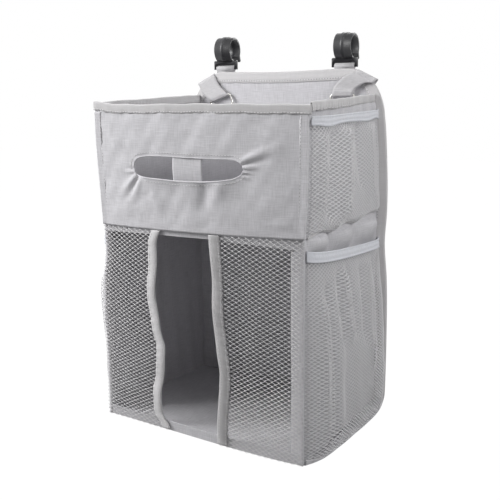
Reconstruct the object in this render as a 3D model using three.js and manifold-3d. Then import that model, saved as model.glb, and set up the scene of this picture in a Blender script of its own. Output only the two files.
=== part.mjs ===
// Crib organizer: a fabric caddy that hangs on a crib rail by two snap hooks.
// Millimetres, +Z up, +X to the right, front towards -Y.
// The origin is the axis of the rail, halfway between the two hooks.

import * as THREE from 'three';
import Module from 'manifold-3d';
import { mergeVertices } from 'three/addons/utils/BufferGeometryUtils.js';

const wasm = await Module();
wasm.setup();

// Overall sizes of the box, measured from its underside and from the front of the back panel.
const bodyWidth = 300;
const bodyDepth = 250;
const rimHeight = 444;
const shelfHeight = 284;

// Back panel.
const panelOverhang = 13;
const panelAboveRim = 38;
const panelBelowFloor = 44;
const panelTopRadius = 60;
const panelBottomRadius = 55;

// Cloth, boards and the gap left between pieces that are sewn or rest together.
const seamGap = 0.3;
const clothThick = 1.6;
const tapeThick = 1.2;
const backBoardThick = 3;
const floorBoardThick = 3;
const shelfBoardThick = 3;
const dividerBoardThick = 2.4;
const boardMargin = 14;
const lipHeight = 13;
const sideFlange = 14;

// Bindings.
const bindingSetback = 2;
const rimBand = 11;
const cornerStripWidth = 8;
const cornerStripReturn = 5;

// Tissue slot in the front panel.
const slotWidth = 160;
const slotHeight = 30;
const slotCentreHeight = 362;
const slotShift = -9;

// Doorway between the two front nets.
const doorwayTopWidth = 77;
const doorwayBottomWidth = 86;
const doorwayBow = 3;
const doorwayShift = -16;
const doorwayTapeWidth = 14;

// Front nets: a staggered lattice of diamond gaps.
const netPitchWide = 23;
const netPitchHigh = 14;
const netStrand = 2.6;
const netHem = 4;

// Side pockets.
const pocketThick = 1.2;
const elasticHeight = 12;
const elasticThick = 1.2;
const upperMouthBelowRim = 18;
const upperMouthDrop = 1;
const upperPocketBulge = 14;
const upperPocketMouth = 9;
const upperPocketPleats = 6;
const lowerMouthBelowShelf = 15;
const lowerMouthDrop = 24;
const lowerPocketBulge = 30;
const lowerPocketMouth = 10;
const lowerPocketPleats = 5;
const pleatDepth = 1.8;
const pocketFoot = 0.09;
const pocketFullness = 8;

// Divider in the upper compartment.
const dividerHeight = 128;
const dividerShift = -8;
const dividerTabWidth = 42;
const liftClearance = 0.8;

// Snap hooks, written from the strap bar that each one turns on.
const hookInset = 54;
const hookBarRise = 4;
const hookBar = 3;
const hookSlotHeight = 2.6;
const hookBaseWidth = 38;
const hookBaseThick = 5;
const hookCrossbar = 7.4;
const hookRingRise = 26.8;
const hookRingSetback = 5;
const hookRingOuter = 18.5;
const hookRingInner = 14.5;
const hookRingLength = 25;
const hookRibHeight = 1.2;
const hookRibWidth = 8;
const hookLip = 6;

// Angles round the hook's ring, counted from the back in degrees.
const hookMouthBack = -42;
const hookLipRoot = -22;
const hookLipEdge = 6;
const hookMouthFront = 258;
const hookRibStart = -10;
const hookRibEnd = 238;

// Webbing, straps and strap rings.
const webbingWidth = 30;
const webbingThick = 1.2;
const webbingTail = 22;
const hookTabWrap = 45;
const ringTabWrap = 30;
const strapWidth = 28;
const strapThick = 1.2;
const strapEdgeAngle = 25;
const strapSeam = 8;
const strapTailLength = 18;
const strapTurnDepth = 4;
const ringBelowRim = 4;
const ringWire = 3.2;
const ringInnerWidth = 33;
const ringInnerHeight = 10;
const ringCorner = 4;
const ringTabLength = 30;
const ringTabTaper = 9;

// Derived planes and sizes.
const halfWidth = bodyWidth / 2;
const innerHalf = halfWidth - clothThick;
const frontFace = -bodyDepth;
const frontInside = frontFace + clothThick;
const panelThick = backBoardThick + 2 * (seamGap + clothThick);
const panelHalf = halfWidth + panelOverhang;
const panelTop = rimHeight + panelAboveRim;
const panelBottom = -panelBelowFloor;
const panelMiddle = panelThick / 2;
const bindingLap = panelOverhang - bindingSetback;
const hookSpacing = bodyWidth - 2 * hookInset;
const ringSpacing = hookSpacing;
const bindingProud = seamGap + tapeThick;
const wallTop = rimHeight - bindingProud;
const flangeFront = frontInside + seamGap;
const lipFront = flangeFront + Math.max(clothThick, seamGap + tapeThick) + seamGap;

const cloth = new THREE.MeshStandardMaterial({ color: '#c9c8cc', roughness: 0.9, metalness: 0 });
const binding = new THREE.MeshStandardMaterial({ color: '#c3c1c3', roughness: 0.85, metalness: 0 });
const net = new THREE.MeshStandardMaterial({ color: '#b7b6b9', roughness: 0.8, metalness: 0 });
const elastic = new THREE.MeshStandardMaterial({ color: '#c5c7cd', roughness: 0.7, metalness: 0 });
const webbing = new THREE.MeshStandardMaterial({ color: '#c4c3c6', roughness: 0.85, metalness: 0 });
const board = new THREE.MeshStandardMaterial({ color: '#a79a88', roughness: 0.95, metalness: 0 });
const blackPlastic = new THREE.MeshStandardMaterial({ color: '#2a292c', roughness: 0.45, metalness: 0 });
const nickel = new THREE.MeshStandardMaterial({ color: '#c9c7c3', roughness: 0.25, metalness: 1 });

// Geometry helpers.

function shapeOf(points) {
  return new THREE.Shape(points.map(([a, b]) => new THREE.Vector2(a, b)));
}

function roundedOutline(half, bottom, top, lowRadius, highRadius) {
  const shape = new THREE.Shape();
  shape.absarc(half - lowRadius, bottom + lowRadius, lowRadius, -Math.PI / 2, 0, false);
  shape.absarc(half - highRadius, top - highRadius, highRadius, 0, Math.PI / 2, false);
  shape.absarc(highRadius - half, top - highRadius, highRadius, Math.PI / 2, Math.PI, false);
  shape.absarc(lowRadius - half, bottom + lowRadius, lowRadius, Math.PI, 1.5 * Math.PI, false);
  shape.closePath();
  return shape;
}

function extruded(shape, depth, curveSegments = 10) {
  return new THREE.ExtrudeGeometry(shape, { depth, bevelEnabled: false, curveSegments });
}

// A shape drawn in x and z, standing from y = front to y = front + depth.
function upright(shape, front, depth, curveSegments) {
  const geometry = extruded(shape, depth, curveSegments);
  geometry.rotateX(Math.PI / 2);
  geometry.translate(0, front + depth, 0);
  return geometry;
}

// A shape drawn in y and z, running along x from left to left + length.
function crosswise(shape, left, length, curveSegments) {
  const geometry = extruded(shape, length, curveSegments);
  const turn = new THREE.Matrix4();
  turn.makeBasis(new THREE.Vector3(0, 1, 0), new THREE.Vector3(0, 0, 1), new THREE.Vector3(1, 0, 0));
  geometry.applyMatrix4(turn);
  geometry.translate(left, 0, 0);
  return geometry;
}

function block(low, high) {
  const size = high.map((value, axis) => value - low[axis]);
  const geometry = new THREE.BoxGeometry(...size);
  geometry.translate(...low.map((value, axis) => value + size[axis] / 2));
  return geometry;
}

function solid(geometry) {
  const plain = geometry.clone();
  plain.deleteAttribute('normal');
  plain.deleteAttribute('uv');
  const merged = mergeVertices(plain, 1e-4);
  const vertProperties = new Float32Array(merged.attributes.position.array);
  const triVerts = new Uint32Array(merged.index.array);
  return new wasm.Manifold(new wasm.Mesh({ numProp: 3, vertProperties, triVerts }));
}

function geometryOf(body) {
  const mesh = body.getMesh();
  const geometry = new THREE.BufferGeometry();
  geometry.setAttribute('position', new THREE.BufferAttribute(new Float32Array(mesh.vertProperties), 3));
  geometry.setIndex(new THREE.BufferAttribute(new Uint32Array(mesh.triVerts), 1));
  geometry.computeVertexNormals();
  return geometry;
}

// A closed mesh from points and triangles, turned so that its faces point out.
function closedMesh(points, triangles) {
  let volume = 0;
  for (const [a, b, c] of triangles) {
    volume += points[a].dot(new THREE.Vector3().crossVectors(points[b], points[c]));
  }
  const outward = volume > 0 ? triangles : triangles.map(([a, b, c]) => [a, c, b]);
  const geometry = new THREE.BufferGeometry().setFromPoints(points);
  geometry.setIndex(outward.flat());
  geometry.computeVertexNormals();
  return geometry;
}

// The same piece for the other side of the organizer.
function mirrored(geometry) {
  const plain = geometry.index ? geometry.clone() : mergeVertices(geometry.clone());
  plain.scale(-1, 1, 1);
  const index = plain.index.array;
  for (let i = 0; i < index.length; i += 3) {
    const second = index[i + 1];
    index[i + 1] = index[i + 2];
    index[i + 2] = second;
  }
  plain.computeVertexNormals();
  return plain;
}

// A flat strip through stations, each with its middle and the direction of its width.
function ribbon(stations, width, thick) {
  const corners = [[-1, -1], [1, -1], [1, 1], [-1, 1]];
  const round = corners.length;
  const points = [];
  const triangles = [];
  stations.forEach(({ at, across }, i) => {
    const before = stations[Math.max(i - 1, 0)].at;
    const after = stations[Math.min(i + 1, stations.length - 1)].at;
    const along = after.clone().sub(before).normalize();
    const side = across.clone().normalize();
    const normal = new THREE.Vector3().crossVectors(along, side).normalize();
    for (const [w, t] of corners) {
      const corner = at.clone().addScaledVector(side, w * width / 2);
      points.push(corner.addScaledVector(normal, t * thick / 2));
    }
  });
  const last = round * (stations.length - 1);
  for (let base = 0; base < last; base += round) {
    for (let k = 0; k < round; k += 1) {
      const next = (k + 1) % round;
      triangles.push([base + k, base + next, base + round + next]);
      triangles.push([base + k, base + round + next, base + round + k]);
    }
  }
  triangles.push([0, 2, 1], [0, 3, 2]);
  triangles.push([last, last + 1, last + 2], [last, last + 2, last + 3]);
  return closedMesh(points, triangles);
}

// A sheet with thickness over a grid: place(u, v, layer) gives the inner (0) and outer (1) faces.
function thickSheet(columns, rows, place) {
  const points = [];
  const triangles = [];
  const stride = columns.length;
  const layerSize = stride * rows.length;
  for (const layer of [0, 1]) {
    for (const v of rows) {
      for (const u of columns) points.push(place(u, v, layer));
    }
  }
  for (let r = 0; r + 1 < rows.length; r += 1) {
    for (let c = 0; c + 1 < stride; c += 1) {
      const a = r * stride + c;
      const b = a + stride;
      triangles.push([a, a + 1, b + 1], [a, b + 1, b]);
      triangles.push([layerSize + a, layerSize + b + 1, layerSize + a + 1]);
      triangles.push([layerSize + a, layerSize + b, layerSize + b + 1]);
    }
  }
  const rim = [];
  for (let c = 0; c < stride; c += 1) rim.push(c);
  for (let r = 1; r < rows.length; r += 1) rim.push(r * stride + stride - 1);
  for (let c = stride - 2; c >= 0; c -= 1) rim.push((rows.length - 1) * stride + c);
  for (let r = rows.length - 2; r > 0; r -= 1) rim.push(r * stride);
  rim.forEach((a, i) => {
    const b = rim[(i + 1) % rim.length];
    triangles.push([a, layerSize + b, b], [a, layerSize + a, layerSize + b]);
  });
  return closedMesh(points, triangles);
}

function steps(from, to, count) {
  return Array.from({ length: count + 1 }, (_, i) => from + (to - from) * i / count);
}

function part(name, geometry, material) {
  const mesh = new THREE.Mesh(geometry, material);
  mesh.name = name;
  return mesh;
}

// Back panel: a cloth sleeve round a board, thinner along its bound edge, with slits for the hook tabs.

function panelOutline(inset) {
  return roundedOutline(
    panelHalf - inset, panelBottom + inset, panelTop - inset,
    panelBottomRadius - inset, panelTopRadius - inset);
}

const boardTop = panelTop - webbingTail - boardMargin;
const boardBottom = panelBottom + boardMargin;
const boardHalf = panelHalf - boardMargin;

function boardOutline(room) {
  return roundedOutline(
    boardHalf + room, boardBottom - room, boardTop + room,
    panelBottomRadius - boardMargin + room, panelTopRadius - boardMargin + room);
}

// Each slit runs from the top edge down into the room for the board.
function hookTabSlit(side) {
  const middle = side * hookSpacing / 2;
  const reach = webbingWidth / 2 + seamGap;
  const thick = webbingThick + seamGap;
  const low = [middle - reach, panelMiddle - thick, boardTop];
  const high = [middle + reach, panelMiddle + thick, panelTop + tapeThick];
  return solid(block(low, high));
}

function backPanel() {
  const cover = solid(upright(panelOutline(bindingLap + seamGap), 0, panelThick));
  const edge = solid(upright(panelOutline(bindingProud), bindingProud, panelThick - 2 * bindingProud));
  const room = solid(upright(boardOutline(seamGap), clothThick, panelThick - 2 * clothThick));
  const slits = hookTabSlit(-1).add(hookTabSlit(1));
  return geometryOf(cover.add(edge).subtract(room).subtract(slits));
}

function backBoard() {
  return upright(boardOutline(0), clothThick + seamGap, backBoardThick);
}

function backBinding() {
  const fold = solid(upright(panelOutline(0), 0, panelThick));
  const groove = solid(upright(panelOutline(tapeThick), tapeThick, panelThick - 2 * tapeThick));
  const window = solid(upright(panelOutline(bindingLap), -tapeThick, panelThick + 2 * tapeThick));
  const slits = hookTabSlit(-1).add(hookTabSlit(1));
  return geometryOf(fold.subtract(groove).subtract(window).subtract(slits));
}

// Side panel with the seam allowance that turns in behind the front.

function sidePanel() {
  const flangeBack = flangeFront + clothThick;
  const plan = shapeOf([
    [halfWidth - sideFlange, flangeFront],
    [halfWidth, flangeFront],
    [halfWidth, -seamGap],
    [innerHalf, -seamGap],
    [innerHalf, flangeBack],
    [halfWidth - sideFlange, flangeBack],
  ]);
  const wall = extruded(plan, wallTop - seamGap);
  wall.translate(0, 0, seamGap);
  const rimRoom = solid(block(
    [halfWidth - 2 * sideFlange, frontFace, rimHeight - rimBand - seamGap], [innerHalf, 0, rimHeight]));
  return geometryOf(solid(wall).subtract(rimRoom));
}

// Floor and shelf: a sleeve round a board, open at the back, with a lip at the front.

function level(bottom, boardThick, lipLow, lipHigh) {
  const thick = boardThick + 2 * (seamGap + clothThick);
  const half = innerHalf - seamGap;
  const sleeve = solid(block([-half, lipFront, bottom], [half, -seamGap, bottom + thick]));
  const lip = solid(block([-half, lipFront, lipLow], [half, lipFront + clothThick, lipHigh]));
  const pocket = solid(block(
    [-half + clothThick, lipFront + clothThick, bottom + clothThick],
    [half - clothThick, 0, bottom + thick - clothThick]));
  return geometryOf(sleeve.add(lip).subtract(pocket));
}

function levelBoard(bottom, boardThick) {
  const half = innerHalf - 2 * seamGap - clothThick;
  const low = bottom + clothThick + seamGap;
  return block(
    [-half, lipFront + clothThick + seamGap, low], [half, -2 * seamGap, low + boardThick]);
}

const shelfThick = shelfBoardThick + 2 * (seamGap + clothThick);
const shelfUnderside = shelfHeight - shelfThick;
const floorThick = floorBoardThick + 2 * (seamGap + clothThick);

// Front panel with the tissue slot.

function frontPanel() {
  const outline = shapeOf([
    [-halfWidth, shelfHeight + seamGap],
    [halfWidth, shelfHeight + seamGap],
    [halfWidth, wallTop],
    [-halfWidth, wallTop],
  ]);
  const radius = slotHeight / 2;
  const reach = slotWidth / 2 - radius;
  const slot = new THREE.Path();
  slot.absarc(slotShift + reach, slotCentreHeight, radius, -Math.PI / 2, Math.PI / 2, false);
  slot.absarc(slotShift - reach, slotCentreHeight, radius, Math.PI / 2, 1.5 * Math.PI, false);
  outline.holes.push(slot);
  return upright(outline, frontFace, clothThick, 8);
}

// Rim bindings: tape folded over the top edges.

function foldedTape(inside, outside) {
  const low = rimHeight - rimBand;
  return shapeOf([
    [outside - bindingProud, low],
    [outside - seamGap, low],
    [outside - seamGap, rimHeight - tapeThick],
    [inside + seamGap, rimHeight - tapeThick],
    [inside + seamGap, low],
    [inside + bindingProud, low],
    [inside + bindingProud, rimHeight],
    [outside - bindingProud, rimHeight],
  ]);
}

function frontRim() {
  const half = innerHalf - bindingProud - seamGap;
  return crosswise(foldedTape(frontInside, frontFace), -half, 2 * half);
}

function sideRim() {
  const start = flangeFront;
  const end = -seamGap;
  const profile = foldedTape(-innerHalf, -halfWidth);
  const tape = extruded(profile, end - start);
  tape.rotateX(Math.PI / 2);
  tape.translate(0, end, 0);
  return tape;
}

function cornerStrip() {
  const front = frontFace - bindingProud;
  const plan = shapeOf([
    [halfWidth - cornerStripWidth, front],
    [halfWidth + bindingProud, front],
    [halfWidth + bindingProud, frontFace + cornerStripReturn],
    [halfWidth + seamGap, frontFace + cornerStripReturn],
    [halfWidth + seamGap, frontFace - seamGap],
    [halfWidth - cornerStripWidth, frontFace - seamGap],
  ]);
  const low = shelfHeight + seamGap;
  const strip = extruded(plan, rimHeight - rimBand - seamGap - low);
  strip.translate(0, 0, low);
  return strip;
}

// Front nets and the doorway between them.

const netTop = shelfHeight - seamGap;
const netBottom = seamGap;

function doorwayEdge(side, height) {
  const share = (height - netBottom) / (netTop - netBottom);
  const width = doorwayBottomWidth + (doorwayTopWidth - doorwayBottomWidth) * share;
  return doorwayShift + side * (width / 2 + doorwayBow * Math.sin(Math.PI * share));
}

function besideDoorway(side, near, far) {
  const heights = steps(netBottom, netTop, 10);
  const inner = heights.map((z) => [near(z), z]);
  const outer = heights.map((z) => [far(z), z]).reverse();
  const outline = [...inner, ...outer];
  return shapeOf(side > 0 ? outline.reverse() : outline);
}

function frontNet(side) {
  const edge = (z) => doorwayEdge(side, z) + side * bindingProud;
  const outline = besideDoorway(side, edge, () => side * halfWidth);
  const halfWide = netPitchWide / 2;
  const halfHigh = netPitchHigh / 2;
  const shrink = 1 - netStrand / 2 / (halfWide * halfHigh / Math.hypot(halfWide, halfHigh));
  const gapWide = halfWide * shrink;
  const gapHigh = halfHigh * shrink;
  const lowest = netBottom + lipHeight + netHem + gapHigh;
  const highest = netTop - lipHeight - netHem - gapHigh;
  const outermost = halfWidth - sideFlange - gapWide;
  let row = 0;
  for (let z = lowest; z <= highest; z += halfHigh) {
    const innermost = side * doorwayEdge(side, z) + doorwayTapeWidth + netHem + gapWide;
    const stagger = (row % 2) * halfWide;
    for (let reach = outermost - stagger; reach >= innermost; reach -= netPitchWide) {
      const x = side * reach;
      const gap = new THREE.Path();
      gap.moveTo(x - gapWide, z);
      gap.lineTo(x, z - gapHigh);
      gap.lineTo(x + gapWide, z);
      gap.lineTo(x, z + gapHigh);
      gap.closePath();
      outline.holes.push(gap);
    }
    row += 1;
  }
  return upright(outline, frontFace, clothThick);
}

function doorwayTape(side) {
  const closed = (z) => doorwayEdge(side, z);
  const open = (z) => doorwayEdge(side, z) + side * doorwayTapeWidth;
  const grooveStart = (z) => doorwayEdge(side, z) + side * tapeThick;
  const grooveEnd = (z) => doorwayEdge(side, z) + side * 2 * doorwayTapeWidth;
  const thick = clothThick + 2 * bindingProud;
  const fold = solid(upright(besideDoorway(side, closed, open), frontFace - bindingProud, thick));
  const grooveOutline = besideDoorway(side, grooveStart, grooveEnd);
  const groove = upright(grooveOutline, frontFace - seamGap, clothThick + 2 * seamGap);
  return geometryOf(fold.subtract(solid(groove)));
}

// Side pockets: gathered mesh that swells from the side panel, with an elastic at the mouth.

const pocketFront = frontFace + cornerStripReturn + seamGap;
const pocketBack = -seamGap;
const pleatColumns = 6;

const upperPocket = {
  low: shelfHeight + seamGap,
  high: rimHeight - upperMouthBelowRim,
  drop: upperMouthDrop,
  bulge: upperPocketBulge,
  mouth: upperPocketMouth,
  pleats: upperPocketPleats,
};

const lowerPocket = {
  low: seamGap,
  high: shelfHeight - lowerMouthBelowShelf,
  drop: lowerMouthDrop,
  bulge: lowerPocketBulge,
  mouth: lowerPocketMouth,
  pleats: lowerPocketPleats,
};

function elasticStart(form) {
  return 1 - elasticHeight / (form.high - form.low);
}

function pocketReach(form, u, v) {
  const girth = 1 - (2 * u - 1) ** pocketFullness;
  const foot = Math.sqrt(1 - (1 - Math.min(v / pocketFoot, 1)) ** 2);
  const swell = (form.mouth + (form.bulge - form.mouth) * (1 - v)) * foot;
  const gather = Math.sin(Math.PI * Math.min(v / elasticStart(form), 1));
  return girth * (swell + pleatDepth * gather * Math.cos(2 * Math.PI * form.pleats * u));
}

function pocketPoint(form, u, v, proud) {
  const y = pocketFront + (pocketBack - pocketFront) * u;
  const top = form.high - form.drop * u;
  const z = form.low + (top - form.low) * v;
  return new THREE.Vector3(halfWidth + seamGap + proud + pocketReach(form, u, v), y, z);
}

function pocket(form) {
  const columns = steps(0, 1, form.pleats * pleatColumns);
  const gathered = steps(pocketFoot, elasticStart(form), 4);
  const rows = [0, pocketFoot / 4, ...gathered, 1];
  return thickSheet(columns, rows, (u, v, layer) => pocketPoint(form, u, v, layer * pocketThick));
}

function pocketElastic(form) {
  const columns = steps(0, 1, form.pleats * pleatColumns);
  const rows = [elasticStart(form), 1];
  const inside = pocketThick + seamGap;
  return thickSheet(columns, rows, (u, v, layer) => pocketPoint(form, u, v, inside + layer * elasticThick));
}

// Divider: a sleeve round a board, open above, with a flat tab at each end.

const dividerFront = frontInside + bindingProud + liftClearance;
const dividerBack = -liftClearance;
const dividerLow = shelfHeight + seamGap;
const dividerTop = dividerLow + dividerHeight;
const dividerThick = dividerBoardThick + 2 * (seamGap + clothThick);
const dividerStart = dividerFront + clothThick + seamGap;
const dividerEnd = dividerBack - clothThick - seamGap;

function dividerPanel() {
  const half = dividerThick / 2;
  const sleeve = solid(block(
    [dividerShift - half, dividerStart, dividerLow], [dividerShift + half, dividerEnd, dividerTop]));
  const inside = half - clothThick;
  const room = solid(block(
    [dividerShift - inside, dividerStart + clothThick, dividerLow + clothThick],
    [dividerShift + inside, dividerEnd - clothThick, dividerTop + clothThick]));
  return geometryOf(sleeve.subtract(room));
}

function dividerBoard() {
  const half = dividerBoardThick / 2;
  return block(
    [dividerShift - half, dividerStart + clothThick + seamGap, dividerLow + clothThick + seamGap],
    [dividerShift + half, dividerEnd - clothThick - seamGap, dividerTop - clothThick]);
}

function dividerTab(front) {
  const half = dividerTabWidth / 2;
  return block(
    [dividerShift - half, front, dividerLow], [dividerShift + half, front + clothThick, dividerTop]);
}

// Snap hook: an open ring with a rib and a flared lip, above a strap bar. Its origin is the bar's axis.

function arcPoint(radius, degrees) {
  const angle = THREE.MathUtils.degToRad(degrees);
  return [hookRingSetback + radius * Math.cos(angle), hookRingRise + radius * Math.sin(angle)];
}

function openRing(inner, outer, from, to) {
  const start = THREE.MathUtils.degToRad(from);
  const end = THREE.MathUtils.degToRad(to);
  const shape = new THREE.Shape();
  shape.absarc(hookRingSetback, hookRingRise, outer, start, end, false);
  shape.absarc(hookRingSetback, hookRingRise, inner, end, start, true);
  shape.closePath();
  return shape;
}

function snapHook() {
  const ringShape = openRing(hookRingInner, hookRingOuter, hookMouthBack, hookMouthFront);
  const ring = solid(crosswise(ringShape, -hookRingLength / 2, hookRingLength, 24));
  const ringMiddle = (hookRingInner + hookRingOuter) / 2;
  const ribShape = openRing(ringMiddle, hookRingOuter + hookRibHeight, hookRibStart, hookRibEnd);
  const rib = solid(crosswise(ribShape, -hookRibWidth / 2, hookRibWidth, 24));
  const lipShape = shapeOf([
    arcPoint(ringMiddle, hookMouthBack),
    arcPoint(hookRingOuter + hookLip, hookMouthBack - hookLipEdge / 2),
    arcPoint(hookRingOuter + hookLip, hookMouthBack + hookLipEdge / 2),
    arcPoint(hookRingOuter - hookRibHeight / 2, hookLipRoot),
  ]);
  const lip = solid(crosswise(lipShape, -hookRingLength / 2, hookRingLength));
  const halfBar = hookBar / 2;
  const slotTop = halfBar + hookSlotHeight;
  const baseTop = slotTop + hookCrossbar;
  const halfBase = hookBaseWidth / 2;
  const halfThick = hookBaseThick / 2;
  const shoulder = shapeOf([
    [-halfBase, -halfBar],
    [halfBase, -halfBar],
    [halfBase, baseTop - hookRibHeight],
    [halfBase - hookRibHeight, baseTop],
    [hookRibHeight - halfBase, baseTop],
    [-halfBase, baseTop - hookRibHeight],
  ]);
  const base = solid(upright(shoulder, -halfThick, hookBaseThick));
  const slotHalf = webbingWidth / 2 + 2 * seamGap;
  const slot = solid(block([-slotHalf, -hookBaseThick, halfBar], [slotHalf, hookBaseThick, slotTop]));
  const slim = hookBaseThick - hookBar;
  const barRelief = solid(block([-slotHalf, -hookBaseThick, -hookBar], [slotHalf, -halfBar, halfBar]));
  const barReliefBack = solid(block([-slotHalf, halfBar, -hookBar], [slotHalf, halfBar + slim, halfBar]));
  const frame = base.subtract(slot).subtract(barRelief).subtract(barReliefBack);
  return geometryOf(frame.add(ring).add(rib).add(lip));
}

// Webbing tab: a loop round a bar, with both tails sewn flat together.
// The profile is drawn in y and z from the bar's axis; the stem runs at y = stem,
// and the loop leaves the bar wrap degrees below it on each side.

function webbingLoop(barRadius, wrap, stem, stemTop, stemBottom) {
  const inner = barRadius + seamGap;
  const outer = inner + webbingThick;
  const start = -THREE.MathUtils.degToRad(wrap);
  const end = Math.PI - start;
  const shape = new THREE.Shape();
  shape.moveTo(stem - webbingThick, stemBottom);
  shape.lineTo(stem + webbingThick, stemBottom);
  shape.lineTo(stem + webbingThick, stemTop);
  shape.absarc(0, 0, outer, start, end, false);
  shape.lineTo(stem - webbingThick, stemTop);
  shape.closePath();
  const eye = new THREE.Path();
  eye.absarc(0, 0, inner, start, end, false);
  eye.lineTo(stem, stemTop + webbingThick / 2);
  eye.closePath();
  shape.holes.push(eye);
  return shape;
}

function hookTab() {
  const barRadius = Math.hypot(hookBar / 2, hookBar / 2);
  const shape = webbingLoop(barRadius, hookTabWrap, 0, -hookBarRise, -hookBarRise - webbingTail);
  return crosswise(shape, -webbingWidth / 2, webbingWidth, 8);
}

// Strap rings stand just in front of the panel, each sewn on by its own tab.

const wireRadius = ringWire / 2;
const strapLoop = wireRadius + seamGap + strapThick / 2;
const ringPlane = -(4 * seamGap + strapThick + wireRadius);
const ringTopBar = rimHeight - ringBelowRim;
const ringBottomBar = ringTopBar - ringInnerHeight - ringWire;
const ringSides = 8;

function strapRing() {
  const halfWide = (ringInnerWidth + ringWire) / 2;
  const frame = roundedOutline(halfWide, ringBottomBar, ringTopBar, ringCorner, ringCorner);
  const outline = frame.getPoints(3);
  const turns = outline.filter((point, i) => i === 0 || point.distanceTo(outline[0]) > seamGap);
  const path = turns.map((point) => new THREE.Vector3(point.x, ringPlane, point.y));
  const points = [];
  const triangles = [];
  path.forEach((at, i) => {
    const before = path[(i + path.length - 1) % path.length];
    const after = path[(i + 1) % path.length];
    const along = after.clone().sub(before).normalize();
    const outward = new THREE.Vector3(along.z, 0, -along.x);
    const next = (i + 1) % path.length;
    for (let k = 0; k < ringSides; k += 1) {
      const angle = 2 * Math.PI * k / ringSides;
      const rim = at.clone().addScaledVector(outward, wireRadius * Math.cos(angle));
      rim.y += wireRadius * Math.sin(angle);
      points.push(rim);
      const turn = (k + 1) % ringSides;
      triangles.push([i * ringSides + k, i * ringSides + turn, next * ringSides + turn]);
      triangles.push([i * ringSides + k, next * ringSides + turn, next * ringSides + k]);
    }
  });
  return closedMesh(points, triangles);
}

function ringTab() {
  const stem = -seamGap - webbingThick - ringPlane;
  const stemBottom = -ringTabTaper - ringTabLength;
  const shape = webbingLoop(wireRadius, ringTabWrap, stem, -ringTabTaper, stemBottom);
  return crosswise(shape, -strapWidth / 2, strapWidth, 6);
}

// Strap: sewn to the binding at the back, over the panel's round corner,
// down to the ring and back up behind it.

function strap() {
  const standoff = seamGap + strapThick / 2;
  const sideways = new THREE.Vector3(1, 0, 0);
  const lean = THREE.MathUtils.degToRad(strapEdgeAngle);
  const outward = new THREE.Vector3(Math.sin(lean), 0, Math.cos(lean));
  const alongEdge = new THREE.Vector3(Math.cos(lean), 0, -Math.sin(lean));
  const edge = new THREE.Vector3(panelHalf - panelTopRadius, panelMiddle, panelTop - panelTopRadius);
  edge.addScaledVector(outward, panelTopRadius);
  const stations = [];
  const add = (x, y, z, across) => stations.push({ at: new THREE.Vector3(x, y, z), across });
  const sewn = edge.clone().addScaledVector(outward, -strapSeam);
  add(sewn.x, panelThick + standoff, sewn.z, alongEdge);
  const turnRadius = Math.hypot(strapTurnDepth, panelMiddle) + standoff;
  for (const angle of steps(0, Math.PI, 6)) {
    const at = edge.clone().addScaledVector(outward, turnRadius * Math.sin(angle) - strapTurnDepth);
    add(at.x, panelMiddle + turnRadius * Math.cos(angle), at.z, alongEdge);
  }
  const over = stations[stations.length - 1].at;
  const ringMiddle = ringSpacing / 2;
  const halfway = alongEdge.clone().add(sideways);
  const front = ringPlane - strapLoop;
  const aboveRing = ringTopBar + 2 * strapLoop;
  add((over.x + ringMiddle) / 2, (over.y + front) / 2 - seamGap, (over.z + aboveRing) / 2, halfway);
  add(ringMiddle, front - seamGap, aboveRing, sideways);
  for (const angle of steps(Math.PI, 2 * Math.PI, 4)) {
    const turn = new THREE.Vector2(Math.cos(angle), Math.sin(angle)).multiplyScalar(strapLoop);
    add(ringMiddle, ringPlane + turn.x, ringTopBar + turn.y, sideways);
  }
  add(ringMiddle, ringPlane + strapLoop, ringTopBar + strapTailLength, sideways);
  return ribbon(stations, strapWidth, strapThick);
}

// Assembly.

const organizer = new THREE.Group();
const hung = new THREE.Group();
hung.position.set(0, -panelMiddle - hookRingSetback, -panelTop - hookBarRise - hookRingRise);
organizer.add(hung);

hung.add(part('back_panel', backPanel(), cloth));
hung.add(part('back_board', backBoard(), board));
hung.add(part('back_binding', backBinding(), binding));
hung.add(part('floor_panel', level(0, floorBoardThick, 0, lipHeight), cloth));
hung.add(part('floor_board', levelBoard(0, floorBoardThick), board));
const shelf = level(shelfUnderside, shelfBoardThick, shelfHeight - lipHeight, shelfHeight);
hung.add(part('shelf_panel', shelf, cloth));
hung.add(part('shelf_board', levelBoard(shelfUnderside, shelfBoardThick), board));
hung.add(part('front_panel', frontPanel(), cloth));
hung.add(part('front_rim_binding', frontRim(), binding));
hung.add(part('divider_panel', dividerPanel(), cloth));
hung.add(part('divider_board', dividerBoard(), board));
hung.add(part('divider_front_tab', dividerTab(dividerFront), cloth));
hung.add(part('divider_back_tab', dividerTab(dividerBack - clothThick), cloth));

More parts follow.
